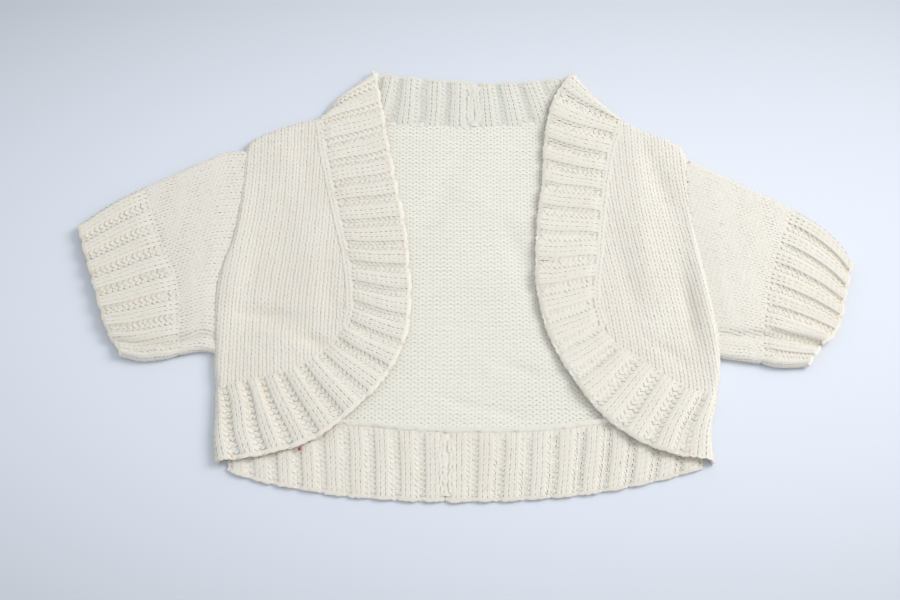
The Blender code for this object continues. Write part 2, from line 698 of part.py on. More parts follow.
def sleeve_lines(side):
    """The lines that bound a sleeve and its cuff."""
    spots = SLEEVE[side]
    fold = shifted(body_fold(side), -SEAM_GAP)
    if side == "right":
        fold = fold[::-1]
    armhole = part_of(fold, BODY_FOLD[side]["armhole"][0], BODY_FOLD[side]["armhole"][-1])
    cuff_seam = dense_line(spots["cuff_seam"])
    outward = SEAM_GAP if side == "right" else -SEAM_GAP
    cuff_start = shifted(cuff_seam, outward)
    top_fold = dense_line([Spot(*armhole[0])] + spots["top_fold"] + [Spot(*cuff_seam[0])])
    bottom_fold = dense_line([Spot(*armhole[-1])] + spots["bottom_fold"] + [Spot(*cuff_seam[-1])])
    cuff_end = dense_line(spots["cuff_end"])
    cuff_top = dense_line([Spot(*cuff_start[0])] + spots["cuff_top_fold"] + [Spot(*cuff_end[0])])
    cuff_bottom = dense_line([Spot(*cuff_start[-1])] + spots["cuff_bottom_fold"] + [Spot(*cuff_end[-1])])
    return (armhole, cuff_seam, top_fold, bottom_fold), (cuff_start, cuff_end, cuff_top, cuff_bottom)


def make_sleeve_and_cuff(side):
    sleeve, cuff = sleeve_lines(side)
    no_ribs = np.zeros_like(SLEEVE_UPPER)
    make_tube(f"sleeve_{side}", sleeve, SLEEVE_SECTIONS[side], SLEEVE_ALONG, SLEEVE_UPPER, no_ribs, CREAM)
    shares, phases = rib_stations(CUFF_RIBS)
    make_tube(
        f"cuff_{side}", cuff, CUFF_SECTIONS[side], CUFF_ALONG, shares, phases, WARM_CREAM, EDGE_SCALLOP
    )


def main():
    for old in list(bpy.data.objects):
        bpy.data.objects.remove(old)
    collection = bpy.data.collections.new(COLLECTION)
    bpy.context.scene.collection.children.link(collection)
    make_back()
    make_hem_bands()
    make_neck_bands()
    for side in ("left", "right"):
        make_front(side)
        make_front_band(side)
        make_sleeve_and_cuff(side)


main()
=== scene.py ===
# The looks of a child's cream knit cardigan, short and short-sleeved, laid flat on a pale table.
# Lengths are in millimetres until a mesh is made: x across, y towards the neck, z up.
import math

import bpy
import numpy as np
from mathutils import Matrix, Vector


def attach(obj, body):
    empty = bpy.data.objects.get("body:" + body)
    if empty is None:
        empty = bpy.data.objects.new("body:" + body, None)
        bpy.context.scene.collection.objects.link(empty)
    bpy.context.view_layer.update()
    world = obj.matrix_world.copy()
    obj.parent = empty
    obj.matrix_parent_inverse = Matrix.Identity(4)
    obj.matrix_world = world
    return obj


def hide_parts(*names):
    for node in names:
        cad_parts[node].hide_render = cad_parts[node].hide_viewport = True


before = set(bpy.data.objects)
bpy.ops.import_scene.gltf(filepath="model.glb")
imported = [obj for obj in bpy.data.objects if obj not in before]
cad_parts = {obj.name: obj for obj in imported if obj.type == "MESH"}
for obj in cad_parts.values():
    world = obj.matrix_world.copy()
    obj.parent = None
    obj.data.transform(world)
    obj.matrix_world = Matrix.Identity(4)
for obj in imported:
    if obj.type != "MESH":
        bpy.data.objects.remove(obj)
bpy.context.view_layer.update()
sides = ("left", "right")

# the cloth's sizes, the same as the solids'
cloth = {
    "wall": 2.4,
    "ribRise": 1.4,
    "edgeScallop": 0.9,
    "seamGap": 0.3,
    "backTop": 2.6,
    "frontTop": 5.8,
    "frontTopOverRibs": 6.9,
    "overHem": (-60.0, -84.0),
    "overNeck": (92.0, 110.0),
    "foldRadius": 4.5,
    "pastTheFold": 10.0,
    "endBowFade": 8,
}

# how the yarn lies in one stitch
yarn = {
    "waleWidth": 4.545,
    "rowHeight": 3.19,
    "thickness": 2.32,  # across, as it lies on the cloth
    "flatness": 0.45,  # its height as a share of its width
    "fuzz": 0.74,  # how far the fuzz evens out the light over each strand
    "legDepth": 0.42,  # half of how far the legs stand before the heads
    "neck": 0.22,  # how far the legs lean, as a share of a wale
    "loopHeight": 0.76,  # half of a loop's height, in rows
    "steps": 8,  # points in one stitch
    "middle": 0.95,  # depth of the yarn's middle below the cloth's face
    "tuck": 0.7,  # how far a course's two ends dip
    "jitter": (0.03, 0.06, 0.05, 0.07),  # unevenness along, up, in thickness and in depth
    "everyOther": 0.05,  # how much thicker every other row's yarn is
    "pinch": 0.07,  # how much thinner the legs are than the heads
    "fuller": 0.44,  # how much thicker the yarn shows where the wrong side faces up
    "squeeze": 0.04,  # how far a wale's two legs draw together
    "lowest": 0.6,  # how low the yarn may lie over the table, in thicknesses
    "corners": 1.22,  # a square yarn's corners stand out as far as a round one's side
    "waveStep": 0.12,  # how much higher every other wave of the wrong side lies
    "waveUneven": 0.6,  # the share of the jitter that moves a wave up or down
}
# how deep the plain cloth lies under the stitches; its darker, warmer colour is painted shade that shows in
# the gaps between them
shell = {"top": 0.72, "back": 0.95, "underRibs": 1.06, "cuff": 1.12, "sleeve": 0.95}
# the waves that make up an uneven field: how many, their sizes as shares of the field's, and the divisor
# that brings their sum to about 1
field = {"waves": 5, "sizes": (0.7, 1.6), "divisor": 2.6}
tiny = 1e-9  # keeps a division safe
batch = 4000  # points that are compared with a line at a time


# lines on the table

def smoothLine(spots, step=1.0):  # a soft curve through the spots, with a point at about every step
    points = np.array(spots, float)
    points = np.vstack([2 * points[0] - points[1], points, 2 * points[-1] - points[-2]])
    pieces = []
    for before, start, end, after in zip(points, points[1:], points[2:], points[3:]):
        gaps = (start - before, end - start, after - end)
        first, middle, last = (math.sqrt(np.linalg.norm(gap)) for gap in gaps)
        slopeIn = (start - before) / first - (end - before) / (first + middle) + (end - start) / middle
        slopeOut = (end - start) / middle - (after - start) / (middle + last) + (after - end) / last
        slopeIn, slopeOut = slopeIn * middle, slopeOut * middle
        count = max(2, int(np.linalg.norm(end - start) / step))
        s = np.linspace(0, 1, count, endpoint=False)[:, None]
        pieces.append((2 * s**3 - 3 * s**2 + 1) * start + (s**3 - 2 * s**2 + s) * slopeIn
                      + (3 * s**2 - 2 * s**3) * end + (s**3 - s**2) * slopeOut)
    return np.vstack(pieces + [points[-2][None]])


def runLengths(line):
    return np.concatenate([[0.0], np.cumsum(np.linalg.norm(np.diff(line, axis=0), axis=1))])


def readLine(line, run, at):  # the line's points, or its normals, at these distances along it
    return np.stack([np.interp(at, run, line[:, k]) for k in range(line.shape[1])], axis=-1)


def pointsAlong(line, shares):
    run = runLengths(line)
    return readLine(line, run, np.asarray(shares) * run[-1])


def leftNormals(line):
    ways = np.gradient(line, axis=0)
    ways /= np.linalg.norm(ways, axis=1)[:, None]
    return np.stack([-ways[:, 1], ways[:, 0]], axis=1)


def shifted(line, distance):
    return line + leftNormals(line) * distance


def nearestIndex(line, spot):
    return int(np.argmin(np.linalg.norm(line - np.array(spot[:2]), axis=1)))


def stretchOf(line, start, end):
    return line[nearestIndex(line, start): nearestIndex(line, end) + 1]


def fourSided(top, bottom, left, right, across, down, fade=1):  # a flat sheet between four lines
    a, b = np.asarray(across)[:, None, None], np.asarray(down)[None, :, None]
    topBow = pointsAlong(top, across)[:, None] - (1 - a) * top[0] - a * top[-1]
    bottomBow = pointsAlong(bottom, across)[:, None] - (1 - a) * bottom[0] - a * bottom[-1]
    alongLeft, alongRight = pointsAlong(left, down)[None], pointsAlong(right, down)[None]
    return (1 - a) * alongLeft + a * alongRight + (1 - b) ** fade * topBow + b**fade * bottomBow


def insideOutline(outline, x, y):
    inside = np.zeros(x.shape, bool)
    for (x0, y0), (x1, y1) in zip(outline, np.roll(outline, -1, axis=0)):
        if y0 != y1:
            crosses = ((y0 > y) != (y1 > y)) & (x < x0 + (y - y0) * (x1 - x0) / (y1 - y0))
            inside ^= crosses
    return inside


# heights

def eased(value, start, end):
    share = np.clip((value - start) / (end - start), 0, 1)
    return share * share * (3 - 2 * share)


def swellAt(x, y, swells):  # the summed rise of soft swells and creases
    total = np.zeros_like(x)
    for middleX, middleY, length, width, turn, rise in swells:
        turn = math.radians(turn)
        along = (x - middleX) * math.cos(turn) + (y - middleY) * math.sin(turn)
        across = (y - middleY) * math.cos(turn) - (x - middleX) * math.sin(turn)
        total = total + rise * np.exp(-((along / length) ** 2) - (across / width) ** 2)
    return total


def waver(x, y, size, seed):  # a smooth uneven field of about -1 to 1
    draw = np.random.default_rng(seed)
    total = np.zeros_like(x, dtype=float)
    for _ in range(field["waves"]):
        turn, phase = draw.uniform(0, 2 * math.pi, 2)
        wave = size * draw.uniform(*field["sizes"])
        total = total + np.sin(2 * math.pi * (x * math.cos(turn) + y * math.sin(turn)) / wave + phase)
    return total / field["divisor"]


# Soft swells, and the creases. Columns: x, y, length, width, turn in degrees, rise.
frontSwells = {
    "left": [(-153, 30, 52, 13, 92, 2.3), (-157, -40, 40, 12, 88, 2.0), (-104, 30, 60, 13, 100, 1.0),
             (-128, -66, 26, 12, -8, 1.3), (-128, 92, 26, 14, -20, 1.0)],
    "right": [(159, 5, 60, 10, 87, 2.6), (163, -50, 40, 9, 94, 2.2), (118, 20, 62, 15, 97, 1.6),
              (118, -52, 22, 12, -40, 1.2), (128, 98, 24, 12, -32, 0.9)],
}
frontCreases = {
    "left": [(-129, -35, 21, 6, -5, -3.0), (-97, -54, 12, 5, -22, -2.2), (-120, -49, 18, 4, -4, 0.9),
             (-140, -8, 26, 6, 78, -0.8), (-108, 74, 34, 7, 96, -0.8), (-131, 40, 40, 7, 84, 0.6),
             (-116, -58, 22, 5, -12, 0.8), (-88, -20, 26, 6, 98, -0.7)],
    "right": [(133, 70, 30, 6, -74, -1.5), (146, -28, 26, 5, -84, -1.7), (108, -8, 34, 7, 100, -0.8),
              (128, -60, 20, 5, -38, -1.2), (118, 76, 30, 7, 98, 0.7), (121, 18, 30, 6, 96, 0.6)],
}
backSwells = [(-8, 20, 90, 20, 84, 0.35), (36, -40, 60, 12, 112, 0.4), (-22, -70, 46, 16, 12, 0.3)]
backCreases = [(37, -74, 18, 5, -22, -0.9), (22, -103, 20, 4, -14, -0.8), (-4, -97, 12, 4, -20, -0.6),
               (40, 0, 52, 6, -72, -0.9), (-14, 62, 40, 8, 70, -0.6), (20, 48, 30, 9, -30, 0.5)]


# the outlines, close to the solids'
bodyFold = {
    "left": {
        "band": [(-60, 164), (-71, 154), (-84, 142), (-99, 125)],
        "shoulder": [(-116, 119), (-133, 112), (-146, 104)],
        "armhole": [(-150, 96), (-151, 71), (-152, 46), (-155, 23), (-161, 4), (-164, -16), (-163, -38),
                    (-161, -62)],
        "side": [(-160, -76), (-158, -88)],
        "hem": [(-157, -104), (-157, -121), (-155, -138)],
    },
    "right": {
        "band": [(78, 162), (86, 149), (96, 136), (110, 122)],
        "shoulder": [(127, 111), (142, 105), (151, 98)],
        "armhole": [(154, 89), (154, 62), (155, 38), (157, 15), (160, -8), (163, -31), (165, -48),
                    (165, -64)],
        "side": [(164, -78), (161, -92)],
        "hem": [(157, -108), (155, -120), (156, -138)],
    },
}
frontSeam = {
    "left": {
        "down": [(-95, 100), (-90, 74), (-84, 46), (-77, 15), (-73, -16), (-73, -35), (-80, -49)],
        "round": [(-91, -61), (-104, -72), (-119, -78), (-140, -83)],
    },
    "right": {
        "down": [(101, 100), (95, 70), (91, 38), (88, 10), (85, -18), (88, -40), (96, -54)],
        "round": [(107, -63), (120, -73), (134, -84), (148, -91)],
    },
}
bandEdge = {
    "left": [(-59, 140), (-54, 108), (-48, 74), (-42, 44), (-38, 12), (-36, -22), (-39, -50), (-50, -77),
             (-70, -101), (-94, -122), (-124, -133)],
    "right": [(68, 145), (61, 125), (57, 100), (55, 70), (51, 38), (49, 6), (50, -20), (56, -48), (68, -75),
              (85, -102), (107, -122), (132, -133)],
}
ribFan = {  # where each valley between a front band's ribs starts and ends, from the neck down
    "left": {"seam": [0, 0.012, 0.045, 0.113, 0.174, 0.233, 0.288, 0.347, 0.406, 0.464, 0.517, 0.571, 0.624,
                      0.676, 0.727, 0.781, 0.832, 0.876, 0.916, 0.965, 1],
             "edge": [0, 0.047, 0.097, 0.150, 0.201, 0.249, 0.297, 0.348, 0.399, 0.446, 0.496, 0.546, 0.598,
                      0.654, 0.712, 0.769, 0.820, 0.866, 0.910, 0.954, 1]},
    "right": {"seam": [0, 0.038, 0.085, 0.150, 0.202, 0.260, 0.326, 0.390, 0.456, 0.516, 0.575, 0.640, 0.708,
                       0.770, 0.828, 0.888, 0.945, 1],
              "edge": [0, 0.074, 0.138, 0.189, 0.235, 0.283, 0.337, 0.392, 0.452, 0.511, 0.569, 0.629, 0.692,
                       0.755, 0.814, 0.871, 0.926, 1]},
}
backHemSeam = [(-153, -90), (-122, -104), (-90, -111), (-62, -114), (-30, -117), (0, -118), (50, -117),
               (88, -112), (122, -104), (156, -93)]
hemEdge = [(-147, -142), (-135, -147), (-111, -153), (-76, -159), (-40, -162), (11, -163), (54, -160.5),
           (89, -156), (124, -148), (148, -141)]
backNeckSeam = [(-95, 119), (-68, 120), (-49, 120), (-20, 118), (6, 117), (33, 118), (54, 120), (80, 120),
                (106, 119)]
neckEdge = [(-62, 161.5), (-56, 161), (-42, 159), (-16, 156), (9, 154), (40, 154), (63, 157), (74, 159),
            (80, 159.5)]
sleeves = {
    "left": {
        "topFold": [(-163, 95), (-180, 87), (-199, 76)],
        "bottomFold": [(-170, -60), (-178, -61.5)],
        "cuffSeam": [(-216, 66), (-208, 40), (-199, 16), (-189, -8), (-185, -34), (-184, -63)],
        "cuffTopFold": [(-233, 56), (-247, 45)],
        "cuffBottomFold": [(-196, -65), (-208, -66)],
        "cuffEnd": [(-257, 36), (-251, 16), (-243.5, -6), (-237, -26), (-230, -45), (-219, -63)],
    },
    "right": {
        "topFold": [(168, 81), (184, 72), (205, 59)],
        "bottomFold": [(174, -66), (184, -68)],
        "cuffSeam": [(222, 48), (213, 29), (206, 9), (200, -12), (195, -36), (191, -69)],
        "cuffTopFold": [(238, 36), (251, 21)],
        "cuffBottomFold": [(203, -71), (212, -71)],
        "cuffEnd": [(257, 8), (252, -8), (248, -22), (244, -37), (237.5, -50), (230, -55), (227, -61),
                    (220, -70)],
    },
}


def foldLine(side):  # the body's folded edge, with the garment on its left
    line = smoothLine([spot for stretch in bodyFold[side].values() for spot in stretch])
    start = line[0] + cloth["pastTheFold"] * (line[0] - line[1]) / np.linalg.norm(line[0] - line[1])
    end = line[-1] + cloth["pastTheFold"] * (line[-1] - line[-2]) / np.linalg.norm(line[-1] - line[-2])
    line = np.vstack([start[None], line, end[None]])
    return line if side == "left" else line[::-1]


def nearestOn(line, points):  # the nearest place, the normal there, and the distance inside
    normals, starts, steps = leftNormals(line), line[:-1], np.diff(line, axis=0)
    flat = points.reshape(-1, 2)
    place, normal = np.zeros_like(flat), np.zeros_like(flat)
    for low in range(0, len(flat), batch):
        some = flat[low: low + batch]
        share = np.clip(np.einsum("psk,sk->ps", some[:, None] - starts, steps) / (steps**2).sum(axis=1), 0, 1)
        spots = starts + share[..., None] * steps
        best = np.argmin(np.linalg.norm(some[:, None] - spots, axis=2), axis=1)
        row = np.arange(len(some))
        part = share[row, best][:, None]
        place[low: low + batch] = spots[row, best]
        normal[low: low + batch] = (1 - part) * normals[best] + part * normals[best + 1]
    normal /= np.linalg.norm(normal, axis=1)[:, None]
    inside = ((flat - place) * normal).sum(axis=1)
    shape = points.shape[:-1]
    return place.reshape(*shape, 2), normal.reshape(*shape, 2), inside.reshape(shape)


def frontHeight(side, x, y):
    overRibs = eased(y, *cloth["overHem"]) + eased(y, *cloth["overNeck"])
    base = cloth["frontTop"] + (cloth["frontTopOverRibs"] - cloth["frontTop"]) * overRibs
    return base + swellAt(x, y, frontSwells[side]) + swellAt(x, y, frontCreases[side])


def foldOver(side, flat):  # lays flat cloth over the body's edge, down to the table
    radius = cloth["foldRadius"]
    place, inward, inside = nearestOn(foldLine(side), flat)
    run = inside + (math.pi / 2 - 1) * radius
    angle = np.clip(run / radius, 0, math.pi / 2)
    onRoll = (run < radius * math.pi / 2)[..., None]
    plan = np.where(onRoll, place + inward * (radius * (1 - np.cos(angle)))[..., None], flat)
    z = frontHeight(side, plan[..., 0], plan[..., 1]) - radius * (1 - np.sin(angle)) + np.minimum(run, 0)
    return np.concatenate([plan, z[..., None]], axis=-1)


# a smooth surface through a grid of points, read at any place in the grid

def gridNormals(grid):
    across, down = np.gradient(grid, axis=0), np.gradient(grid, axis=1)
    normals = np.cross(across, down)
    normals /= np.maximum(np.linalg.norm(normals, axis=-1, keepdims=True), tiny)
    return normals if normals[..., 2].sum() > 0 else -normals


def surfaceFrom(grid):
    both = np.concatenate([grid, gridNormals(grid)], axis=-1)
    columns, rows = grid.shape[0] - 1, grid.shape[1] - 1

    def at(u, v):  # u and v are shares of the grid's two directions
        u, v = np.clip(u, 0, 1) * columns, np.clip(v, 0, 1) * rows
        i, j = np.minimum(u.astype(int), columns - 1), np.minimum(v.astype(int), rows - 1)
        a, b = (u - i)[..., None], (v - j)[..., None]
        found = ((1 - a) * (1 - b) * both[i, j] + a * (1 - b) * both[i + 1, j]
                 + (1 - a) * b * both[i, j + 1] + a * b * both[i + 1, j + 1])
        normals = found[..., 3:]
        return found[..., :3], normals / np.maximum(np.linalg.norm(normals, axis=-1, keepdims=True), tiny)

    return at


# meshes

def addPiece(name, points, faces, materialName):
    mesh = bpy.data.meshes.new(name)
    mesh.from_pydata((points * 0.001).tolist(), [], faces)
    mesh.shade_smooth()
    mesh.materials.append(bpy.data.materials[materialName])
    piece = bpy.data.objects.new(name, mesh)
    bpy.context.scene.collection.objects.link(piece)
    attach(piece, "root")
    return piece


def addShell(name, outer, inner, ring=False):  # a closed wall of cloth between two grids of points
    columns, rows = outer.shape[:2]
    last = columns if ring else columns - 1
    i, k = (part.ravel() for part in np.meshgrid(np.arange(last), np.arange(rows - 1), indexing="ij"))
    j, below = (i + 1) % columns, columns * rows
    quads = np.stack([i * rows + k, j * rows + k, j * rows + k + 1, i * rows + k + 1], axis=1)
    faces = [quads, quads[:, ::-1] + below]
    i = np.arange(last)
    j = (i + 1) % columns
    for k, order in ((0, -1), (rows - 1, 1)):
        rim = np.stack([i * rows + k, j * rows + k, j * rows + k + below, i * rows + k + below], axis=1)
        faces.append(rim[:, ::order])
    if not ring:
        k = np.arange(rows - 1)
        for i, order in ((0, 1), (columns - 1, -1)):
            first = i * rows + k
            rim = np.stack([first, first + 1, first + 1 + below, first + below], axis=1)
            faces.append(rim[:, ::order])
    points = np.vstack([outer.reshape(-1, 3), inner.reshape(-1, 3)])
    points[:, 2] = np.maximum(points[:, 2], 0)
    faces = np.vstack(faces)
    corners = points[faces]
    volume = (corners[:, 0] * np.cross(corners[:, 1], corners[:, 2])).sum()
    volume += (corners[:, 0] * np.cross(corners[:, 2], corners[:, 3])).sum()
    # the wall takes a darker, warmer beige wool: painted shade for the gaps between the stitches over it
    return addPiece(name, points, (faces if volume > 0 else faces[:, ::-1]).tolist(), "woolPaintedShade")


def addStrands(name, strands, materialName, sidesRound=4, flatness=yarn["flatness"]):
    # strands: a list of (points, normals, radii), each one length of yarn
    counts = np.array([len(points) for points, _, _ in strands])
    firsts = np.concatenate([[0], np.cumsum(counts)[:-1]])
    points, normals = (np.vstack([strand[k] for strand in strands]) for k in (0, 1))
    radii = np.concatenate([np.broadcast_to(strand[2], len(strand[0])) for strand in strands])
    first, last = np.repeat(firsts, counts), np.repeat(firsts + counts - 1, counts)
    index = np.arange(len(points))
    ways = points[np.minimum(index + 1, last)] - points[np.maximum(index - 1, first)]
    ways /= np.maximum(np.linalg.norm(ways, axis=1), tiny)[:, None]
    side = np.cross(ways, normals)
    side /= np.maximum(np.linalg.norm(side, axis=1), tiny)[:, None]
    up = np.cross(side, ways)
    turn = 2 * math.pi * (np.arange(sidesRound) + 0.5) / sidesRound
    full = yarn["corners"] if sidesRound == 4 else 1.0
    ring = (points[:, None] + full * radii[:, None, None] * (np.cos(turn)[None, :, None] * side[:, None]
            + flatness * np.sin(turn)[None, :, None] * up[:, None]))
    ring[..., 2] = np.maximum(ring[..., 2], 0)
    inner = index[index != last]
    k = np.arange(sidesRound)
    here, ahead = inner[:, None] * sidesRound, (inner[:, None] + 1) * sidesRound
    after = (k + 1) % sidesRound
    quads = np.stack([here + k, ahead + k, ahead + after, here + after], axis=-1).reshape(-1, 4)
    caps = np.vstack([firsts[:, None] * sidesRound + k,
                      (firsts + counts - 1)[:, None] * sidesRound + k[::-1]])
    steps = np.where(index == first, 0, np.linalg.norm(points - points[np.maximum(index - 1, 0)], axis=1))
    run = np.cumsum(steps)
    turnHere = np.broadcast_to(k / sidesRound, (len(inner), sidesRound))
    runHere, runAhead = (np.repeat(run[at][:, None], sidesRound, axis=1) for at in (inner, inner + 1))
    turnAhead = turnHere + 1 / sidesRound
    uv = np.stack([np.stack([runHere, turnHere], -1), np.stack([runAhead, turnHere], -1),
                   np.stack([runAhead, turnAhead], -1), np.stack([runHere, turnAhead], -1)], axis=2)
    uv = np.vstack([uv.reshape(-1, 2), np.zeros((len(caps) * sidesRound, 2))])
    uv[:, 0] *= 0.1  # one unit is 10 mm of yarn
    piece = addPiece(name, ring.reshape(-1, 3), quads.tolist() + caps.tolist(), materialName)
    piece.data.uv_layers.new(name="twist").data.foreach_set("uv", uv.astype(np.float32).ravel())
    out = np.cos(turn)[None, :, None] * side[:, None] + np.sin(turn)[None, :, None] * up[:, None]
    evened = np.where((np.sin(turn) > 0)[None, :, None], yarn["fuzz"], 0)
    out = (1 - evened) * out + evened * normals[:, None]
    out /= np.linalg.norm(out, axis=-1, keepdims=True)
    piece.data.normals_split_custom_set_from_vertices(out.reshape(-1, 3).tolist())
    return piece


# stitches

def layCourses(courses, place, faceOf, seed, radius=yarn["thickness"] / 2, squeeze=yarn["squeeze"],
               jitter=yarn["jitter"]):
    # courses: a list of (row, first wale, last wale); place turns wales and rows into points and normals
    draw = np.random.default_rng(seed)
    alongJitter, upJitter, thickJitter, depthJitter = jitter
    wales, rows, outs, thick, counts = [], [], [], [], []
    for row, firstWale, lastWale in courses:
        count = lastWale - firstWale + 1
        t = np.arange(count * yarn["steps"] + 1) * 2 * math.pi / yarn["steps"] - math.pi
        uneven = [np.interp(t / (2 * math.pi), np.arange(count), draw.normal(size=count)) for _ in range(4)]
        number = np.round(t / (2 * math.pi))
        beside = t / (2 * math.pi) + yarn["neck"] * np.sin(2 * t) - number
        wale = firstWale + number + beside * (1 - squeeze * (2 - 4 * np.minimum(np.abs(beside), 0.5)))
        ends = np.zeros_like(t)
        ends[[0, -1]] = yarn["tuck"]
        wales.append(wale + alongJitter * uneven[0])
        rows.append(row + yarn["loopHeight"] * np.cos(t) + upJitter * uneven[1])
        face = faceOf(firstWale + t / (2 * math.pi))
        outs.append(-yarn["legDepth"] * np.cos(2 * t) * face + depthJitter * uneven[3] - ends)
        thick.append(1 + yarn["pinch"] * np.cos(2 * t) + yarn["fuller"] * np.clip(-2 * face - 1, 0, 1)
                     + thickJitter * uneven[2] + yarn["everyOther"] * (row % 2 - 0.5))
        counts.append(len(t))
    wales, rows = np.concatenate(wales), np.concatenate(rows)
    points, normals = place(wales, rows)
    points = points + normals * (np.concatenate(outs) - yarn["middle"])[:, None]
    radii = (radius(wales, rows) if callable(radius) else radius) * np.concatenate(thick)
    points[:, 2] = np.maximum(points[:, 2], yarn["lowest"] * yarn["thickness"])
    cuts = np.cumsum(counts)[:-1]
    return list(zip(np.split(points, cuts), np.split(normals, cuts), np.split(radii, cuts)))


def layWaves(courses, place, seed, radius):  # the wrong side: two waves a row, touching and parting in turn
    draw = np.random.default_rng(seed)
    _, upJitter, thickJitter, depthJitter = yarn["jitter"]
    strands = []
    for row, firstWale, lastWale in courses:
        for half in (0, 1):
            wale = np.arange(4 * firstWale - 2, 4 * lastWale + 3) / 4
            knots = np.arange(firstWale - 1, lastWale + 2)
            uneven = [np.interp(wale, knots, draw.normal(size=len(knots))) for _ in range(3)]
            wave = (0.25 - 0.5 * half) * np.cos(2 * math.pi * wale)
            across = row + 0.5 * half + wave + yarn["waveUneven"] * upJitter * uneven[0]
            points, normals = place(wale, across)
            depth = np.full(len(wale), -yarn["middle"] + yarn["waveStep"] * half)
            depth[[0, -1]] -= yarn["tuck"]
            points = points + normals * (depth + depthJitter * uneven[1])[:, None]
            strands.append((points, normals, radius * (1 + thickJitter * uneven[2])))
    return strands


def stretchesIn(mask):  # where each run of true values starts, and where it stops
    edges = np.flatnonzero(np.diff(np.concatenate([[0], mask.astype(int), [0]])))
    return zip(edges[::2], edges[1::2])


def coursesInside(place, outline, wales, rows):  # the stitches whose middles lie in the outline
    grid = np.stack(np.meshgrid(rows, wales, indexing="ij"), axis=-1).astype(float)
    flat = place(grid[..., 1], grid[..., 0])
    inside = insideOutline(outline, flat[..., 0], flat[..., 1])
    return [(row, wales[start], wales[stop - 1]) for row, mask in zip(rows, inside)
            for start, stop in stretchesIn(mask)]


def plainFace(wale):
    return np.ones_like(wale)


# materials

wool = {
    "woolPlain": {"base": (0.745, 0.711, 0.646), "deep": (0.70, 0.655, 0.575)},
    "woolRib": {"base": (0.755, 0.72, 0.648), "deep": (0.712, 0.662, 0.575)},
    "woolInside": {"base": (0.77, 0.757, 0.69), "deep": (0.73, 0.71, 0.63)},
    # a darker copy of the inside wool for the neck band: painted shade
    "woolNeckPaintedShade": {"base": (0.70, 0.688, 0.625), "deep": (0.665, 0.645, 0.57)},
    # painted shade: the darker, warmer beige of the plain cloth that shows in the gaps between stitches
    "woolPaintedShade": {"base": (0.80, 0.71, 0.55), "deep": (0.76, 0.66, 0.49)},
    "surface": {"Roughness": 0.92, "Sheen Weight": 0.35, "Sheen Roughness": 0.45, "Specular IOR Level": 0.25,
                "Subsurface Weight": 0.08, "Subsurface Radius": (1.0, 0.75, 0.5), "Subsurface Scale": 0.0015},
    "patches": {"Scale": 28.0, "Detail": 4.0},  # wide and fine unevenness of the colour
    "fine": {"Scale": 900.0, "Detail": 3.0},
    "colourRange": {"From Min": 0.12, "From Max": 0.45, "To Max": 0.75},
    "plies": {"Scale": 4.0, "Distortion": 0.6},  # turns of the plies along the yarn in 10 mm
    "plyBump": {"Strength": 0.14, "Distance": 0.00025},
    "fuzzBump": {"Strength": 0.08, "Distance": 0.0003},
}


def setInputs(node, values):
    for name, value in values.items():
        node.inputs[name].default_value = value
    return node


def joinNodes(material, joins):  # each join names a node and its output, then a node and its input
    for source, output, target, entry in joins:
        material.node_tree.links.new(source.outputs[output], target.inputs[entry])


def makeWool(name):
    material = bpy.data.materials.new(name)
    material.use_nodes = True
    nodes = material.node_tree.nodes
    shader = setInputs(nodes["Principled BSDF"], wool["surface"])
    kinds = ("TexCoord", "UVMap", "Math", "Mix")
    spots, twist, mixed, blend = (nodes.new("ShaderNode" + kind) for kind in kinds)
    patches = setInputs(nodes.new("ShaderNodeTexNoise"), wool["patches"])
    fine = setInputs(nodes.new("ShaderNodeTexNoise"), wool["fine"])
    stretch = setInputs(nodes.new("ShaderNodeMapRange"), wool["colourRange"])
    plies = setInputs(nodes.new("ShaderNodeTexWave"), wool["plies"])
    plyBump = setInputs(nodes.new("ShaderNodeBump"), wool["plyBump"])
    fuzzBump = setInputs(nodes.new("ShaderNodeBump"), wool["fuzzBump"])
    twist.uv_map, mixed.operation, blend.data_type = "twist", "MULTIPLY", "RGBA"
    plies.wave_type, plies.bands_direction = "BANDS", "DIAGONAL"
    setInputs(blend, {"A": (*wool[name]["base"], 1), "B": (*wool[name]["deep"], 1)})
    joinNodes(material, (
        (spots, "Object", patches, "Vector"), (spots, "Object", fine, "Vector"), (patches, "Fac", mixed, 0),
        (fine, "Fac", mixed, 1), (mixed, "Value", stretch, "Value"), (stretch, "Result", blend, "Factor"),
        (blend, "Result", shader, "Base Color"), (twist, "UV", plies, "Vector"),
        (plies, "Fac", plyBump, "Height"), (fine, "Fac", fuzzBump, "Height"),
        (plyBump, "Normal", fuzzBump, "Normal"), (fuzzBump, "Normal", shader, "Normal")))


for name in ("woolPlain", "woolRib", "woolInside", "woolNeckPaintedShade", "woolPaintedShade"):
    makeWool(name)
print("wool ready")


# the fronts

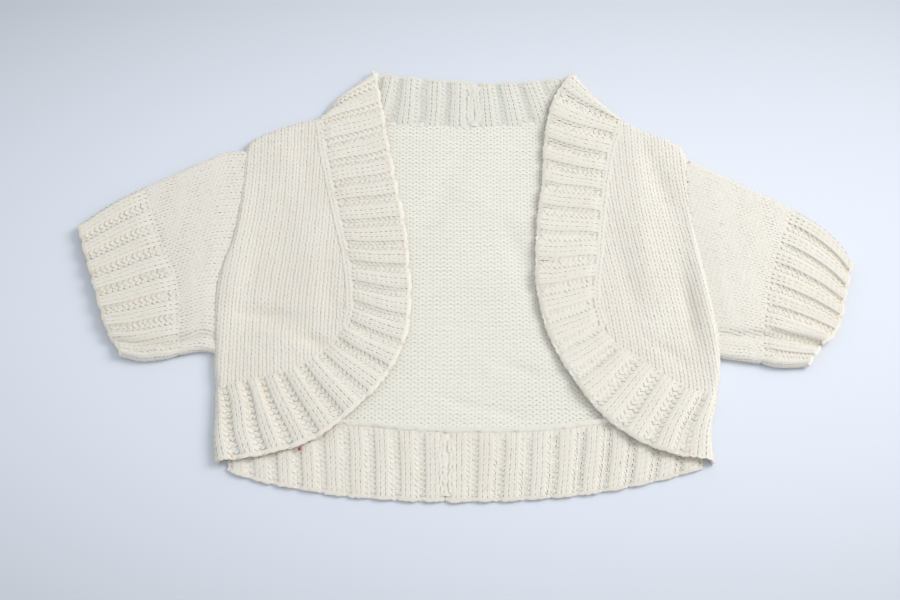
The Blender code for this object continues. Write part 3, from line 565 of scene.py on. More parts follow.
fronts = {
    "gridStep": 1.25,
    "across": {"left": (-176, -60), "right": (72, 184)},  # what the unrolled cloth covers in x and in y
    "down": (-100, 132),
    "lean": {  # how far the wales have moved to the right, going down: shift, y
        "left": [(0, 135), (0, 75), (-2, 40), (-5.5, 10), (-8, -16), (-8.6, -40), (-7, -105)],
        "right": [(0, 135), (0, 100), (2, 62), (8, 22), (16, -20), (22, -60), (25, -105)],
    },
    "leanAtBand": {"left": 0.5, "right": 0.85},  # the share of the lean beside the band
    "leanSpan": {"left": (-151, -80), "right": (154, 90)},  # x at the outer edge and beside the band
    "waver": 0.5,  # how unevenly the stitches lie, and the size and seed of it across and down
    "waverAcross": (60, 3),
    "waverDown": (45, 5),
    "shellAcross": ((0, 0.12, 13), (0.15, 1, 26)),  # the cloth's grid, finer over the folds: from, to, count
    "shellDown": ((0, 0.04, 8), (0.06, 1, 70)),
    "wales": {"left": (-40, -12), "right": (14, 42)},  # more than the front holds, the outline picks its own
    "rows": (-30, 44),
    "seed": 21,
    "fuzz": 340,
}
# the column of stitches beside the band
column = {"inset": 2.0, "ends": (14, 12), "pitch": 3.3, "radius": 1.3, "rise": 0.3}


def clothBorder(side):  # where a front's cloth ends at the table, laid flat, and the fold beside it
    fold = foldLine(side)
    height = frontHeight(side, fold[:, 0], fold[:, 1])
    pastFold = (math.pi / 2 - 1) * cloth["foldRadius"] + height - cloth["foldRadius"]
    return fold - leftNormals(fold) * pastFold[:, None], fold


def seamLine(side):  # the seam of a front and its band, run out past the folds
    edge, fold = clothBorder(side)
    top, low = bodyFold[side]["band"][-1], bodyFold[side]["side"][-1]
    ends = [tuple(edge[nearestIndex(fold, spot)]) for spot in (top, low)]
    return smoothLine([ends[0], top] + frontSeam[side]["down"] + frontSeam[side]["round"] + [low, ends[1]])


def borderBetween(side, start, end):
    edge, fold = clothBorder(side)
    first, last = nearestIndex(fold, start), nearestIndex(fold, end)
    return edge[first: last + 1] if first <= last else edge[last: first + 1][::-1]


def overPlan(xs, ys, grid):  # a surface that is read by x and y
    at = surfaceFrom(grid)

    def byPlan(plan):
        return at((plan[..., 0] - xs[0]) / (xs[-1] - xs[0]), (plan[..., 1] - ys[0]) / (ys[-1] - ys[0]))

    return byPlan


def frontSurface(side):
    xs, ys = (np.arange(*span, fronts["gridStep"]) for span in (fronts["across"][side], fronts["down"]))
    return overPlan(xs, ys, foldOver(side, np.stack(np.meshgrid(xs, ys, indexing="ij"), axis=-1)))


def frontLattice(side):  # where wale and row numbers lie on the unrolled cloth
    shifts, ys = smoothLine(fronts["lean"][side][::-1]).T
    outer, inner = fronts["leanSpan"][side]

    def byWale(wale, row):
        x, y = wale * yarn["waleWidth"], row * yarn["rowHeight"]
        toBand = np.clip((x - outer) / (inner - outer), 0, 1)
        x = x + np.interp(y, ys, shifts) * (1 + (fronts["leanAtBand"][side] - 1) * toBand)
        x = x + fronts["waver"] * waver(x, y, *fronts["waverAcross"])
        y = y + fronts["waver"] * waver(x, y, *fronts["waverDown"])
        return np.stack([x, y], axis=-1)

    return byWale


def makeFront(side):
    outline, name, inward = bodyFold[side], "front" + side.title(), -1 if side == "left" else 1
    tip = outline["shoulder"][-1]
    seam = shifted(seamLine(side), inward * cloth["seamGap"] / 2)
    bend = nearestIndex(seam, frontSeam[side]["down"][-1])
    shoulder, outer = (borderBetween(side, tip, outline[end][-1]) for end in ("band", "side"))
    inner, lower = seam[: bend + 1], seam[bend:][::-1]
    shoulder[-1], outer[-1] = inner[0], lower[0]
    surface = frontSurface(side)
    across, down = (np.concatenate([np.linspace(*span) for span in fronts[way]])
                    for way in ("shellAcross", "shellDown"))
    points, normals = surface(fourSided(shoulder, lower, outer, inner, across, down))
    body = addShell(name + "Cloth", points - normals * shell["top"], points - normals * cloth["wall"])
    border = np.vstack([shoulder, inner[1:], lower[::-1][1:], outer[::-1][1:]])
    lattice = frontLattice(side)
    courses = coursesInside(lattice, border, np.arange(*fronts["wales"][side]), np.arange(*fronts["rows"]))
    stitches = layCourses(courses, lambda wale, row: surface(lattice(wale, row)), plainFace, fronts["seed"])
    knit = addStrands(name + "Knit", stitches, "woolPlain")
    line = shifted(seam, inward * column["inset"])[column["ends"][0]: bend - column["ends"][1]]
    stitches = layColumn(surface, line, column["pitch"], fronts["seed"] + 2, column["radius"], column["rise"])
    beside = addStrands(name + "Column", stitches, "woolPlain")
    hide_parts(f"front_{side}")
    return finish(body, [knit, beside], fronts["fuzz"], "woolPlain")


def layColumn(surface, line, pitch, seed, radius, rise=0.0, jitter=yarn["jitter"]):  # one wale along a line
    run, normals = runLengths(line), leftNormals(line)

    def place(wale, row):
        spot, side = (readLine(part, run, row * pitch) for part in (line, normals))
        points, ups = surface(spot + side * (wale * yarn["waleWidth"])[..., None])
        return points + ups * rise, ups

    courses = [(row, 0, 0) for row in range(1, int(run[-1] / pitch))]
    return layCourses(courses, place, plainFace, seed, radius, jitter=jitter)


# the ribbed bands

bands = {
    "phases": (0.11, 0.305, 0.5, 0.695, 0.89),  # where a rib's five wales stand, from one valley to the next
    "flanks": {"front": (0.06, 0.28, 0.75, 0.85), "cuff": (0.06, 0.26, 0.76, 0.85),
               "hem": (0.12, 0.25, 0.74, 0.93), "neck": (0.11, 0.27, 0.74, 0.89)},
    "faces": (-1, 1, 1, 1, -1),  # 1 is a plain wale, -1 a wrong-side one
    "rows": {"front": 12, "hem": 13, "neck": 11, "cuff": 13},
    "ribs": {"hemLeft": 9, "hemRight": 10, "neckLeft": 6, "neckRight": 6, "cuff": 7},
    "radius": {"front": 0.285, "hem": 0.295, "neck": 0.3, "cuff": 0.275},  # the yarn's, in wales
    "thin": 0.72,  # the yarn's least and largest radius
    "thick": 1.45,
    "squeeze": 0.2,  # how far a wale's two legs draw together
    "softSeam": 0.55,  # the ribs' height where they start at the seam
    "softTo": 0.14,  # how far from the seam they reach their full height, as a share of the band
    "uneven": 0.14,  # how much the ribs' heights differ
    "valley": 0.3,  # how much deeper the valleys lie than the solids'
    "relief": {"front": 1.0, "hem": 0.78, "neck": 0.74},  # shares of the ribs' full height
    "bow": {"front": 1.3, "hem": 0.6, "neck": 0.5},  # how far the ribs sag sideways
    "bowLeast": 0.2,  # the least sag and how far it may tilt, as shares of the most
    "tilt": 0.35,
    "straightEnds": 8,  # how soon the sag sets in from the band's ends
    "scallop": 3,  # how late the edge's scallops set in
    "frontScallop": 0.5,  # how far they stand out on the front bands, as a share of the other bands'
    "lowest": 0.4,  # the front bands' least height over the table
    "rimCut": {"front": (3, 9), "cuff": (9, 9)},  # grid lines that the rolled edge leaves out at its ends
    "seedStep": 10,  # from the left half's random draws to the right half's
    "cuffRise": {"left": 1.15, "right": 0.95},
    "cuffShift": {"left": 0.22, "right": 0.22},  # a rib, not a valley, lies on the cuffs' upper folds
    "perRib": 10,  # grid lines along each rib's width
    "across": 31,
    "fuzz": {"front": 240, "lower": 140, "cuff": 160},
    "seeds": {"front": 31, "hem": 41, "neck": 61, "cuff": 95},
}
walesPerRib = len(bands["phases"])
rims = {  # each soft rolled edge: half its thickness, how far it lies below and outside the cloth's edge
    "front": (1.65, 1.35, -0.1),
    "band": (1.3, 1.1, -0.2),
    "back": (1.9, 2.0, 0.0),
    "step": 1.1,  # from point to point
    "bumps": 1.9,  # from bump to bump
    "drift": 0.26,  # how far it wanders sideways
    "swell": 0.13,  # how much its thickness varies
    "lean": 0.5,  # how far it turns outwards
    "lowest": 0.9,  # its least height over the table
    "sidesRound": 8,
    "flatness": 0.85,
}
hemSeamX, neckSeamX = -12.0, 8.0
neckFan = {  # where the ribs stand on the seam and on the edge
    "left": {"ribs": [0, 0.30, 0.417, 0.5, 0.583, 0.75, 0.917, 1],
             "seam": [0, 0.25, 0.340, 0.431, 0.529, 0.7175, 0.874, 1],
             "edge": [0, 0.02, 0.143, 0.243, 0.344, 0.611, 0.829, 1]},
    "right": {"ribs": [0, 0.083, 0.25, 0.417, 0.583, 0.667, 0.75, 1],
              "seam": [0, 0.10, 0.288, 0.486, 0.684, 0.776, 0.86, 1],
              "edge": [0, 0.097, 0.30, 0.532, 0.75, 0.875, 0.97, 1]},
}
neckWales = {"left": (8, 29), "right": (0, 23)}  # the ones that show
plainFan = {"ribs": [0, 1], "seam": [0, 1], "edge": [0, 1]}


def ribPhase(shares, ribs):  # the rib's number, and how far along its width a share of the band lies
    number = np.clip((shares * ribs).astype(int), 0, ribs - 1)
    return number, shares * ribs - number


def ribShape(phase, kind):  # a rib's sides: steep on its shaded side, gentle on the other
    riseFrom, riseTo, fallFrom, fallTo = bands["flanks"][kind]
    return eased(phase, riseFrom, riseTo) * (1 - eased(phase, fallFrom, fallTo))


def ribFace(wale):  # 1 on the plain wales, -1 on the wrong-side ones
    numbers = np.arange(-2 * walesPerRib, 80 * walesPerRib)  # more than the longest band has
    values = np.tile(bands["faces"], len(numbers) // walesPerRib)
    return np.clip(2 * np.interp(wale, numbers, values), -1, 1)


def raiseRibs(points, normals, ribs, shares, kind, seed):  # the band's relief, its ribs a little uneven
    draw = np.random.default_rng(seed)
    number, phase = ribPhase(shares, ribs)
    uneven = 1 + bands["uneven"] * draw.normal(size=ribs)
    lift = (cloth["ribRise"] + bands["valley"]) * ribShape(phase, kind) * uneven[number] - bands["valley"]
    lift *= bands["relief"][kind]
    fromSeam = eased(np.linspace(0, 1, points.shape[1]), 0, bands["softTo"])
    soft = bands["softSeam"] + (1 - bands["softSeam"]) * fromSeam
    return points + normals * (lift[:, None] * soft[None])[..., None]


def bowRibs(flat, ribs, shares, kind, seed):  # lets the ribs sag along the band between seam and edge
    draw = np.random.default_rng(seed)
    knots = np.linspace(0, 1, ribs + 1)
    amounts = np.interp(shares, knots, draw.uniform(bands["bowLeast"], 1.0, ribs + 1)) * bands["bow"][kind]
    tilts = np.interp(shares, knots, draw.normal(size=ribs + 1)) * bands["tilt"] * bands["bow"][kind]
    ends = np.clip(np.minimum(shares, 1 - shares) * bands["straightEnds"], 0, 1)
    amounts, tilts = amounts * ends, tilts * ends
    ways = np.gradient(flat[..., :2], axis=0)
    ways /= np.linalg.norm(ways, axis=-1, keepdims=True)
    v = np.linspace(0, 1, flat.shape[1])[None]
    push = amounts[:, None] * np.sin(math.pi * v) + tilts[:, None] * np.sin(2 * math.pi * v)
    return flat + ways * push[..., None]


def between(first, second, start, end, shares, down):  # a sheet between two rows, its ends following lines
    a, b = np.asarray(shares)[:, None, None], np.asarray(down)[None, :, None]
    straight = (1 - b) * first[:, None, :] + b * second[:, None, :]
    startBow = pointsAlong(start, down) - ((1 - b[0]) * start[0] + b[0] * start[-1])
    endBow = pointsAlong(end, down) - ((1 - b[0]) * end[0] + b[0] * end[-1])
    fade = cloth["endBowFade"]
    return straight + (1 - a) ** fade * startBow[None] + a**fade * endBow[None]


def scalloped(flat, shape):  # each rib stands out a little at the band's edge
    outward = flat[:, -1] - flat[:, 0]
    outward /= np.linalg.norm(outward, axis=1)[:, None]
    reach = np.linspace(0, 1, flat.shape[1]) ** bands["scallop"]
    return flat + (outward * (cloth["edgeScallop"] * shape)[:, None])[:, None] * reach[None, :, None]


def knitBand(name, top, ribs, kind, seed, start=0.0, stop=1.0, wales=None, materialName="woolRib"):
    rows, surface = bands["rows"][kind], surfaceFrom(top)
    first, last = wales or (0, walesPerRib * ribs - 1)
    numbers = np.arange(-2 * walesPerRib, walesPerRib * (ribs + 2))  # two ribs more at each end
    stations = (np.repeat(np.arange(-2, ribs + 2), walesPerRib) + np.tile(bands["phases"], ribs + 4)) / ribs

    def place(wale, row):
        return surface((np.interp(wale, numbers, stations) - start) / (stop - start), (row + 0.5) / rows)

    def radius(wale, row):  # fuller where the wales stand further apart
        apart = np.linalg.norm(place(wale + 0.5, row)[0] - place(wale - 0.5, row)[0], axis=-1)
        return np.clip(bands["radius"][kind] * apart, bands["thin"], bands["thick"])

    courses = [(row, first, last) for row in range(rows)]
    stitches = layCourses(courses, place, ribFace, seed, radius, bands["squeeze"])
    return addStrands(name, stitches, materialName)


def edgeRim(name, top, seed, sizes, materialName="woolRib"):
    radius, down, out = sizes
    line = top[:, -1]
    outward = line - top[:, -2]
    outward /= np.linalg.norm(outward, axis=1)[:, None]
    line = line + outward * out
    line[:, 2] = np.maximum(line[:, 2] - down, rims["lowest"])
    run = runLengths(line)
    at = np.linspace(0, run[-1], int(run[-1] / rims["step"]))
    draw = np.random.default_rng(seed)
    knots = np.linspace(0, run[-1], int(run[-1] / rims["bumps"]))
    swell, drift = (np.interp(at, knots, draw.normal(size=len(knots))) for _ in range(2))
    line, outward = readLine(line, run, at), readLine(outward, run, at)
    line = line + outward * (rims["drift"] * drift)[:, None]
    ups = np.tile((0.0, 0.0, 1.0), (len(line), 1)) + rims["lean"] * outward
    ups /= np.linalg.norm(ups, axis=1)[:, None]
    strand = (line, ups, radius * (1 + rims["swell"] * swell))
    return addStrands(name, [strand], materialName, rims["sidesRound"], rims["flatness"])


def makeFrontBand(side):
    outline, fan, name = bodyFold[side], ribFan[side], "frontBand" + side.title()
    ribs, seed = len(fan["seam"]) - 1, bands["seeds"]["front"]
    seam = shifted(seamLine(side), (1 if side == "left" else -1) * cloth["seamGap"] / 2)
    neckEnd = borderBetween(side, outline["band"][-1], outline["band"][0])
    hemEnd = borderBetween(side, outline["side"][-1], outline["hem"][-1])
    neckEnd[0], hemEnd[0] = seam[0], seam[-1]
    free = smoothLine([tuple(neckEnd[-1])] + bandEdge[side] + [tuple(hemEnd[-1])])
    shares, down = np.linspace(0, 1, ribs * bands["perRib"] + 1), np.linspace(0, 1, bands["across"])
    valleys = np.linspace(0, 1, ribs + 1)
    alongSeam = pointsAlong(seam, np.interp(shares, valleys, fan["seam"]))
    alongEdge = pointsAlong(free, np.interp(shares, valleys, fan["edge"]))
    flat = between(alongSeam, alongEdge, neckEnd, hemEnd, shares, down)
    flat = bowRibs(flat, ribs, shares, "front", seed)
    _, phase = ribPhase(shares, ribs)
    base = foldOver(side, scalloped(flat, bands["frontScallop"] * ribShape(phase, "front")))
    normals = gridNormals(base)
    top = raiseRibs(base, normals, ribs, shares, "front", seed + 2)
    top[..., 2] = np.maximum(top[..., 2], bands["lowest"])
    body = addShell(name + "Cloth", (top - normals * shell["underRibs"])[::2, ::2],
                    (base - normals * cloth["wall"])[::2, ::2])
    knit = knitBand(name + "Knit", top, ribs, "front", seed + 4)
    first, last = bands["rimCut"]["front"]
    rope = edgeRim(name + "Rim", top[first:-last], seed + 6, rims["front"])
    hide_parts(f"band_front_{side}")
    return finish(body, [knit, rope], bands["fuzz"]["front"], "woolRib")


def cutAt(line, x):  # the two halves of a line, with the seams' gap between them
    gap = cloth["seamGap"] / 2
    y = np.interp(x, line[:, 0], line[:, 1])
    return (np.vstack([line[line[:, 0] < x - gap], [(x - gap, y)]]),
            np.vstack([[(x + gap, y)], line[line[:, 0] > x + gap]]))


def makeLowerBand(name, node, seam, edge, ribs, fan, kind, seed, wales):
    shares, down = np.linspace(0, 1, ribs * bands["perRib"] + 1), np.linspace(0, 1, bands["across"])
    alongSeam = pointsAlong(seam, np.interp(shares, fan["ribs"], fan["seam"]))
    alongEdge = pointsAlong(edge, np.interp(shares, fan["ribs"], fan["edge"]))
    flat = (1 - down)[None, :, None] * alongSeam[:, None] + down[None, :, None] * alongEdge[:, None]
    flat = bowRibs(flat, ribs, shares, kind, seed)
    _, phase = ribPhase(shares, ribs)
    flat = scalloped(flat, ribShape(phase, kind))
    base = np.concatenate([flat, np.full((*flat.shape[:2], 1), cloth["wall"])], axis=-1)
    normals = np.zeros_like(base)
    normals[..., 2] = 1
    top = raiseRibs(base, normals, ribs, shares, kind, seed + 1)
    under = top.copy()
    under[..., 2] = 0
    body = addShell(name + "Cloth", (top - normals * shell["underRibs"])[::2, ::2], under[::2, ::2])
    # the neck band takes the darker copy of the inside wool, which is painted shade
    materialName = "woolNeckPaintedShade" if kind == "neck" else "woolRib"
    knit = knitBand(name + "Knit", top, ribs, kind, seed + 2, wales=wales, materialName=materialName)
    rope = edgeRim(name + "Rim", top, seed + 3, rims["band"], materialName)
    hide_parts(node)
    joint = [makeJoint(kind)] if name.endswith("Left") else []
    return finish(body, [knit, rope] + joint, bands["fuzz"]["lower"], materialName)


def makeLowerBands():
    gap = cloth["seamGap"] / 2
    for kind, seam, edge, x in (("hem", shifted(smoothLine(backHemSeam), -gap), hemEdge, hemSeamX),
                                ("neck", shifted(smoothLine(backNeckSeam), gap), neckEdge, neckSeamX)):
        halves = zip(sides, cutAt(seam, x), cutAt(smoothLine(edge), x), (0, bands["seedStep"]))
        for side, halfSeam, halfEdge, more in halves:
            ribs = bands["ribs"][kind + side.title()]
            fan, wales = (plainFan, None) if kind == "hem" else (neckFan[side], neckWales[side])
            makeLowerBand(kind + "Band" + side.title(), f"band_{kind}_{side}", halfSeam, halfEdge, ribs, fan,
                          kind, bands["seeds"][kind] + more, wales)


# loose fibres that stand off the yarn

fibres = {
    "length": (1.6, 4.2),
    "radius": 0.055,
    "taper": (1.1, 0.7),  # the shares of the radius at the root, and lost towards the tip
    "lift": (0.1, 0.75),
    "arch": 0.8,  # how much of half a wave it rises and falls over
    "off": 0.1,  # how far the whole fibre is raised
    "curl": 0.9,
    "points": 5,
    "sidesRound": 3,
    "below": 2.5,  # how far under the yarn's middle height they may start
    "fewest": 20,
    "seed": 101,
}


def addFuzz(knit, count, materialName):  # fine hairs from places on a piece's yarn
    draw = np.random.default_rng(fibres["seed"])
    spots = np.empty(len(knit.data.vertices) * 3)
    knit.data.vertices.foreach_get("co", spots)
    spots = spots.reshape(-1, 3) * 1000
    spots = spots[spots[:, 2] > np.median(spots[:, 2]) - fibres["below"]]
    starts = spots[draw.integers(0, len(spots), count)]
    turn = draw.uniform(0, 2 * math.pi, count)
    bend = draw.normal(0, fibres["curl"], count)
    length, lift = draw.uniform(*fibres["length"], count), draw.uniform(*fibres["lift"], count)
    root, less = fibres["taper"]
    hairs = []
    for start, angle, curl, reach, rise in zip(starts, turn, bend, length, lift):
        part = np.linspace(0, 1, fibres["points"])
        way = angle + curl * part
        line = start + np.stack([np.cos(way) * part, np.sin(way) * part, 0 * part], axis=1) * reach
        line[:, 2] += rise * np.sin(math.pi * part * fibres["arch"]) + fibres["off"]
        ups = np.tile((0.0, 0.0, 1.0), (len(line), 1))
        hairs.append((line, ups, fibres["radius"] * (root - less * part)))
    return addStrands(knit.name + "Fuzz", hairs, materialName, fibres["sidesRound"], 1.0)


def finish(body, pieces, fuzzCount, materialName):  # adds the fuzz
    total = sum(len(piece.data.vertices) for piece in pieces)
    counts = [max(fibres["fewest"], int(fuzzCount * len(piece.data.vertices) / total)) for piece in pieces]
    pieces = pieces + [addFuzz(piece, count, materialName) for piece, count in zip(pieces, counts)]
    return body


# the joints where the halves of the hem and neck bands meet: knotty columns of stitches

joints = {
    "hem": {"lines": [[(-13.4, -121), (-13.8, -136), (-13.0, -150), (-12.8, -160)],
                      [(-8.0, -121), (-7.4, -136), (-8.2, -150), (-7.2, -160)]], "pitch": 3.9, "radius": 1.3,
            "middle": [(-12, -119), (-12, -140), (-12, -161)], "wool": "woolRib"},
    "neck": {"lines": [[(5.4, 120), (4.8, 132), (5.8, 144), (5.2, 153)],
                       [(9.8, 120), (10.3, 132), (9.5, 144), (10.0, 153)]], "pitch": 4.1, "radius": 1.3,
             "middle": [(8, 117.5), (8, 137), (8, 154)], "wool": "woolNeckPaintedShade"},
    "height": 3.4,
    "middleHeight": 1.4,
    "middleRadius": 3.1,
    "uneven": (0.10, 0.16, 0.12, 0.14),  # along, up, in thickness and in depth
    "seed": 71,
}


def makeJoint(kind):
    def surface(plan):
        points = np.concatenate([plan, np.full((*plan.shape[:-1], 1), joints["height"])], axis=-1)
        return points, np.zeros_like(points) + (0, 0, 1)

    middle = smoothLine(joints[kind]["middle"])
    ups = np.tile((0.0, 0.0, 1.0), (len(middle), 1))
    heights = np.full(len(middle), joints["middleHeight"])
    strands = [(np.column_stack([middle, heights]), ups, joints["middleRadius"])]
    for k, spots in enumerate(joints[kind]["lines"]):
        strands += layColumn(surface, smoothLine(spots), joints[kind]["pitch"], joints["seed"] + k,
                             joints[kind]["radius"], jitter=joints["uneven"])
    return addStrands(kind + "Joint", strands, joints[kind]["wool"])


# a red fleck of yarn under the left band

fleck = {
    "place": (-102.8, -130.0, 5.2),
    "way": (0.5, 1.0, 0),
    "halfLength": 1.5,
    "radius": 1.0,
    "taper": (0.35, 0.8, 1.0, 0.8, 0.45, 0.15),
    "sidesRound": 6,
    "flatness": 0.6,
    "colour": (0.36, 0.03, 0.04),
    "roughness": 0.9,
}


def makeFleck():
    red = bpy.data.materials.new("redFleck")
    red.use_nodes = True
    setInputs(red.node_tree.nodes["Principled BSDF"],
              {"Base Color": (*fleck["colour"], 1), "Roughness": fleck["roughness"]})
    count = len(fleck["taper"])
    line = np.linspace(-1, 1, count)[:, None] * np.array(fleck["way"]) * fleck["halfLength"] + fleck["place"]
    radii = fleck["radius"] * np.array(fleck["taper"])
    ups = np.tile((0.0, 0.0, 1.0), (count, 1))
    return addStrands("fleck", [(line, ups, radii)], "redFleck", fleck["sidesRound"],
                      fleck["flatness"])


# the back, seen from inside the garment

back = {
    "ridge": [(6.0, 0.0), (3.0, 0.8), (1.25, 0.75), (0.0, 0.32)],  # distance from the hem's seam, rise
    "inset": 4.4,
    "cornerPoints": 3,
    "grid": ((-166, 168, 2.0), (-124, 130, 1.0)),  # from, to, step, in x and in y
    "plainRows": 60,
    "plainShare": 0.95,
    "columns": 81,
    "strand": 2.1,
    "roll": 1.7,  # how high the cloth rolls up beside the hem's seam, where, and how widely
    "rollAt": 2.4,
    "rollWidth": 2.3,
    "dip": 1.4,  # how far it dips at the seam, and where
    "dipSpan": (-0.8, 1.2),
    "ridgeFrom": 4.0,  # the rolled edge faces away from a line this far from the seam
    "ridgeTo": 2.3,  # and lies on this one
    "ridgeCut": 4,  # points of it that are left out at each end
    "pastSeam": 0.5,  # how far the stitches run on past the hem's seam
    "underBand": 11.0,  # how far the stitches run on under the bands
    "stitchSpan": (-112, 121),  # they follow the bands from this y to this one
    "waver": 0.5,
    "waverAcross": (70, 13),
    "waverDown": (50, 15),
    "wales": (-30, 30),
    "rows": (-40, 42),
    "seed": 81,
    "fuzz": 300,
}


def backHeight(x, y):
    return cloth["backTop"] + swellAt(x, y, backSwells) + swellAt(x, y, backCreases)


def backSurface(seam):  # the cloth rolls up softly along the hem's seam
    xs, ys = (np.arange(*span) for span in back["grid"])
    x, y = np.meshgrid(xs, ys, indexing="ij")
    far = y - np.interp(x, seam[:, 0], seam[:, 1])
    roll = back["roll"] * np.exp(-(((far - back["rollAt"]) / back["rollWidth"]) ** 2))
    rise = roll - back["dip"] * (1 - eased(far, *back["dipSpan"]))
    return overPlan(xs, ys, np.stack([x, y, backHeight(x, y) + rise], axis=-1))


def backLattice(wale, row):
    x, y = (wale + 0.5) * yarn["waleWidth"], row * yarn["rowHeight"]
    x = x + back["waver"] * waver(x, y, *back["waverAcross"])
    y = y + back["waver"] * waver(x, y, *back["waverDown"])
    return np.stack([x, y], axis=-1)


def stitchOutline(neck, seam):  # the back's stitches: what shows, and a little more under the bands
    low, high = back["stitchSpan"]
    left = smoothLine(bandEdge["left"]) - (back["underBand"], 0)
    right = smoothLine(bandEdge["right"]) + (back["underBand"], 0)
    left, right = (line[(line[:, 1] > low) & (line[:, 1] < high)] for line in (left, right))
    top = neck[(neck[:, 0] > left[0, 0]) & (neck[:, 0] < right[0, 0])]
    bottom = seam[(seam[:, 0] > left[-1, 0]) & (seam[:, 0] < right[-1, 0])][::-1]
    bottom = bottom - (0, back["pastSeam"])
    return np.vstack([top, right, bottom, left[::-1]])


def makeBack():
    seam = shifted(smoothLine(backHemSeam), cloth["seamGap"] / 2)
    neck = smoothLine(backNeckSeam)
    inset = {side: shifted(foldLine(side), back["inset"]) for side in sides}
    left, right = inset["left"], inset["right"][::-1]
    leftSide = stretchOf(left, bodyFold["left"]["shoulder"][-1], seam[0])
    rightSide = stretchOf(right, bodyFold["right"]["shoulder"][-1], seam[-1])
    leftShoulder = stretchOf(left, neck[0], leftSide[0])[::-1]
    rightShoulder = stretchOf(right, neck[-1], rightSide[0])
    cut = back["cornerPoints"]
    top = np.vstack([leftShoulder, shifted(neck, -cloth["seamGap"] / 2)[cut:-cut], rightShoulder])
    leftSide[-1], rightSide[-1] = seam[0], seam[-1]
    length = neck[0][1] - seam[0][1]
    down = np.concatenate([np.linspace(0, back["plainShare"], back["plainRows"]),
                           [1 - far / length for far, _ in back["ridge"]]])
    plan = fourSided(top, seam, leftSide, rightSide, np.linspace(0, 1, back["columns"]), down)
    height = backHeight(plan[..., 0], plan[..., 1])
    height[:, back["plainRows"]:] += [rise for _, rise in back["ridge"]]
    outer = np.concatenate([plan, (height - shell["back"])[..., None]], axis=-1)
    inner = np.concatenate([plan, np.zeros_like(height)[..., None]], axis=-1)
    body = addShell("backCloth", outer, inner)
    surface = backSurface(seam)
    courses = coursesInside(backLattice, stitchOutline(neck, seam), np.arange(*back["wales"]),
                            np.arange(*back["rows"]))
    waves = layWaves(courses, lambda wale, row: surface(backLattice(wale, row)), back["seed"],
                     back["strand"] / 2)
    knit = addStrands("backKnit", waves, "woolInside")
    ends = back["ridgeCut"]
    lines = [np.column_stack([line, backHeight(line[:, 0], line[:, 1]) + back["roll"]])
             for line in (shifted(seam, back[end])[ends:-ends] for end in ("ridgeFrom", "ridgeTo"))]
    ridge = edgeRim("backRidge", np.stack(lines, axis=1), back["seed"] + 2, rims["back"], "woolInside")
    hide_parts("back_panel")
    return finish(body, [knit, ridge], back["fuzz"], "woolInside")


# sleeves and cuffs, flattened tubes

tubes = {
    # at shares of the length: the height at the folds, how much higher the middle stands, and the long
    # crease above the lower fold: its distance from the fold and its depth
    "sleeve": {"left": [(0, 5.8, 0.2, 11, 0.8), (0.3, 6.4, 1.3, 11, 1.6), (0.7, 6.4, 1.6, 11, 2.5),
                        (1, 6.2, 1.1, 11, 3.0)],
               "right": [(0, 5.8, 0.2, 16, 1.3), (0.3, 6.4, 1.3, 17, 2.3), (0.7, 6.4, 1.6, 18, 2.7),
                         (1, 6.2, 1.1, 20, 3.0)]},
    "cuff": {"left": [(0, 6.2, 1.0, 11, 3.0), (0.5, 6.2, 0.9, 11, 3.3), (1, 6.2, 0.6, 12, 2.9)],
             "right": [(0, 6.2, 1.0, 20, 3.0), (0.5, 6.2, 0.9, 21, 3.6), (1, 6.2, 0.6, 17, 4.0)]},
    "creaseWidth": 3.2,
    "crownFullness": 0.7,
    "past": {"sleeve": 0.06, "cuff": 0.11},  # how far the stitches run round the folds, a share of the width
    "pastMost": 160.0,  # and in degrees
    "across": {"sleeve": 121, "cuff": 141},  # grid lines
    "along": 25,
    "rowPoints": 41,
    "bowFade": 4,
    "wales": 33,
    "rows": 24,
    "firstRow": 0.6,
    "start": 0.012,  # where the sleeve's stitches start, as a share of its length
    "sway": 0.003,  # how far a wale swings, as a share of the width, and its turns by row and by wale
    "swayTurns": (0.9, 0.7),
    "radius": 1.06,
    "spread": 0.38,  # how much thicker the yarn shows where the wales spread towards the armhole
    "underFront": 3.2,  # how far the stitches go on under the front
    "cuffSoft": 0.15,  # the height of the cuffs' ribs at their seam, and where the ribs rise from it
    "softSpan": {"cloth": (0.02, 0.3), "knit": (0, 0.2)},
    "seed": 91,
    "fuzz": 200,
}
# the plain cloth's turns round a fold in degrees, its places across the top, those of its underside as
# from, to and count, and the turns over which it sinks to its depth under the stitches
section = {"turns": (-90.0, -60, -30, 0, 30, 60), "top": 71, "low": (0.94, 0.06, 12), "sunk": (-90, -20)}


def sleeveLines(side):
    spots = sleeves[side]
    fold = shifted(foldLine(side), -cloth["seamGap"])
    fold = fold if side == "left" else fold[::-1]
    armhole = stretchOf(fold, bodyFold[side]["armhole"][0], bodyFold[side]["armhole"][-1])
    cuffSeam = smoothLine(spots["cuffSeam"])
    cuffStart = shifted(cuffSeam, cloth["seamGap"] if side == "right" else -cloth["seamGap"])
    cuffEnd = smoothLine(spots["cuffEnd"])
    top = smoothLine([tuple(armhole[0])] + spots["topFold"] + [tuple(cuffSeam[0])])
    bottom = smoothLine([tuple(armhole[-1])] + spots["bottomFold"] + [tuple(cuffSeam[-1])])
    cuffTop = smoothLine([tuple(cuffStart[0])] + spots["cuffTopFold"] + [tuple(cuffEnd[0])])
    cuffBottom = smoothLine([tuple(cuffStart[-1])] + spots["cuffBottomFold"] + [tuple(cuffEnd[-1])])
    return (armhole, cuffSeam, top, bottom), (cuffStart, cuffEnd, cuffTop, cuffBottom)


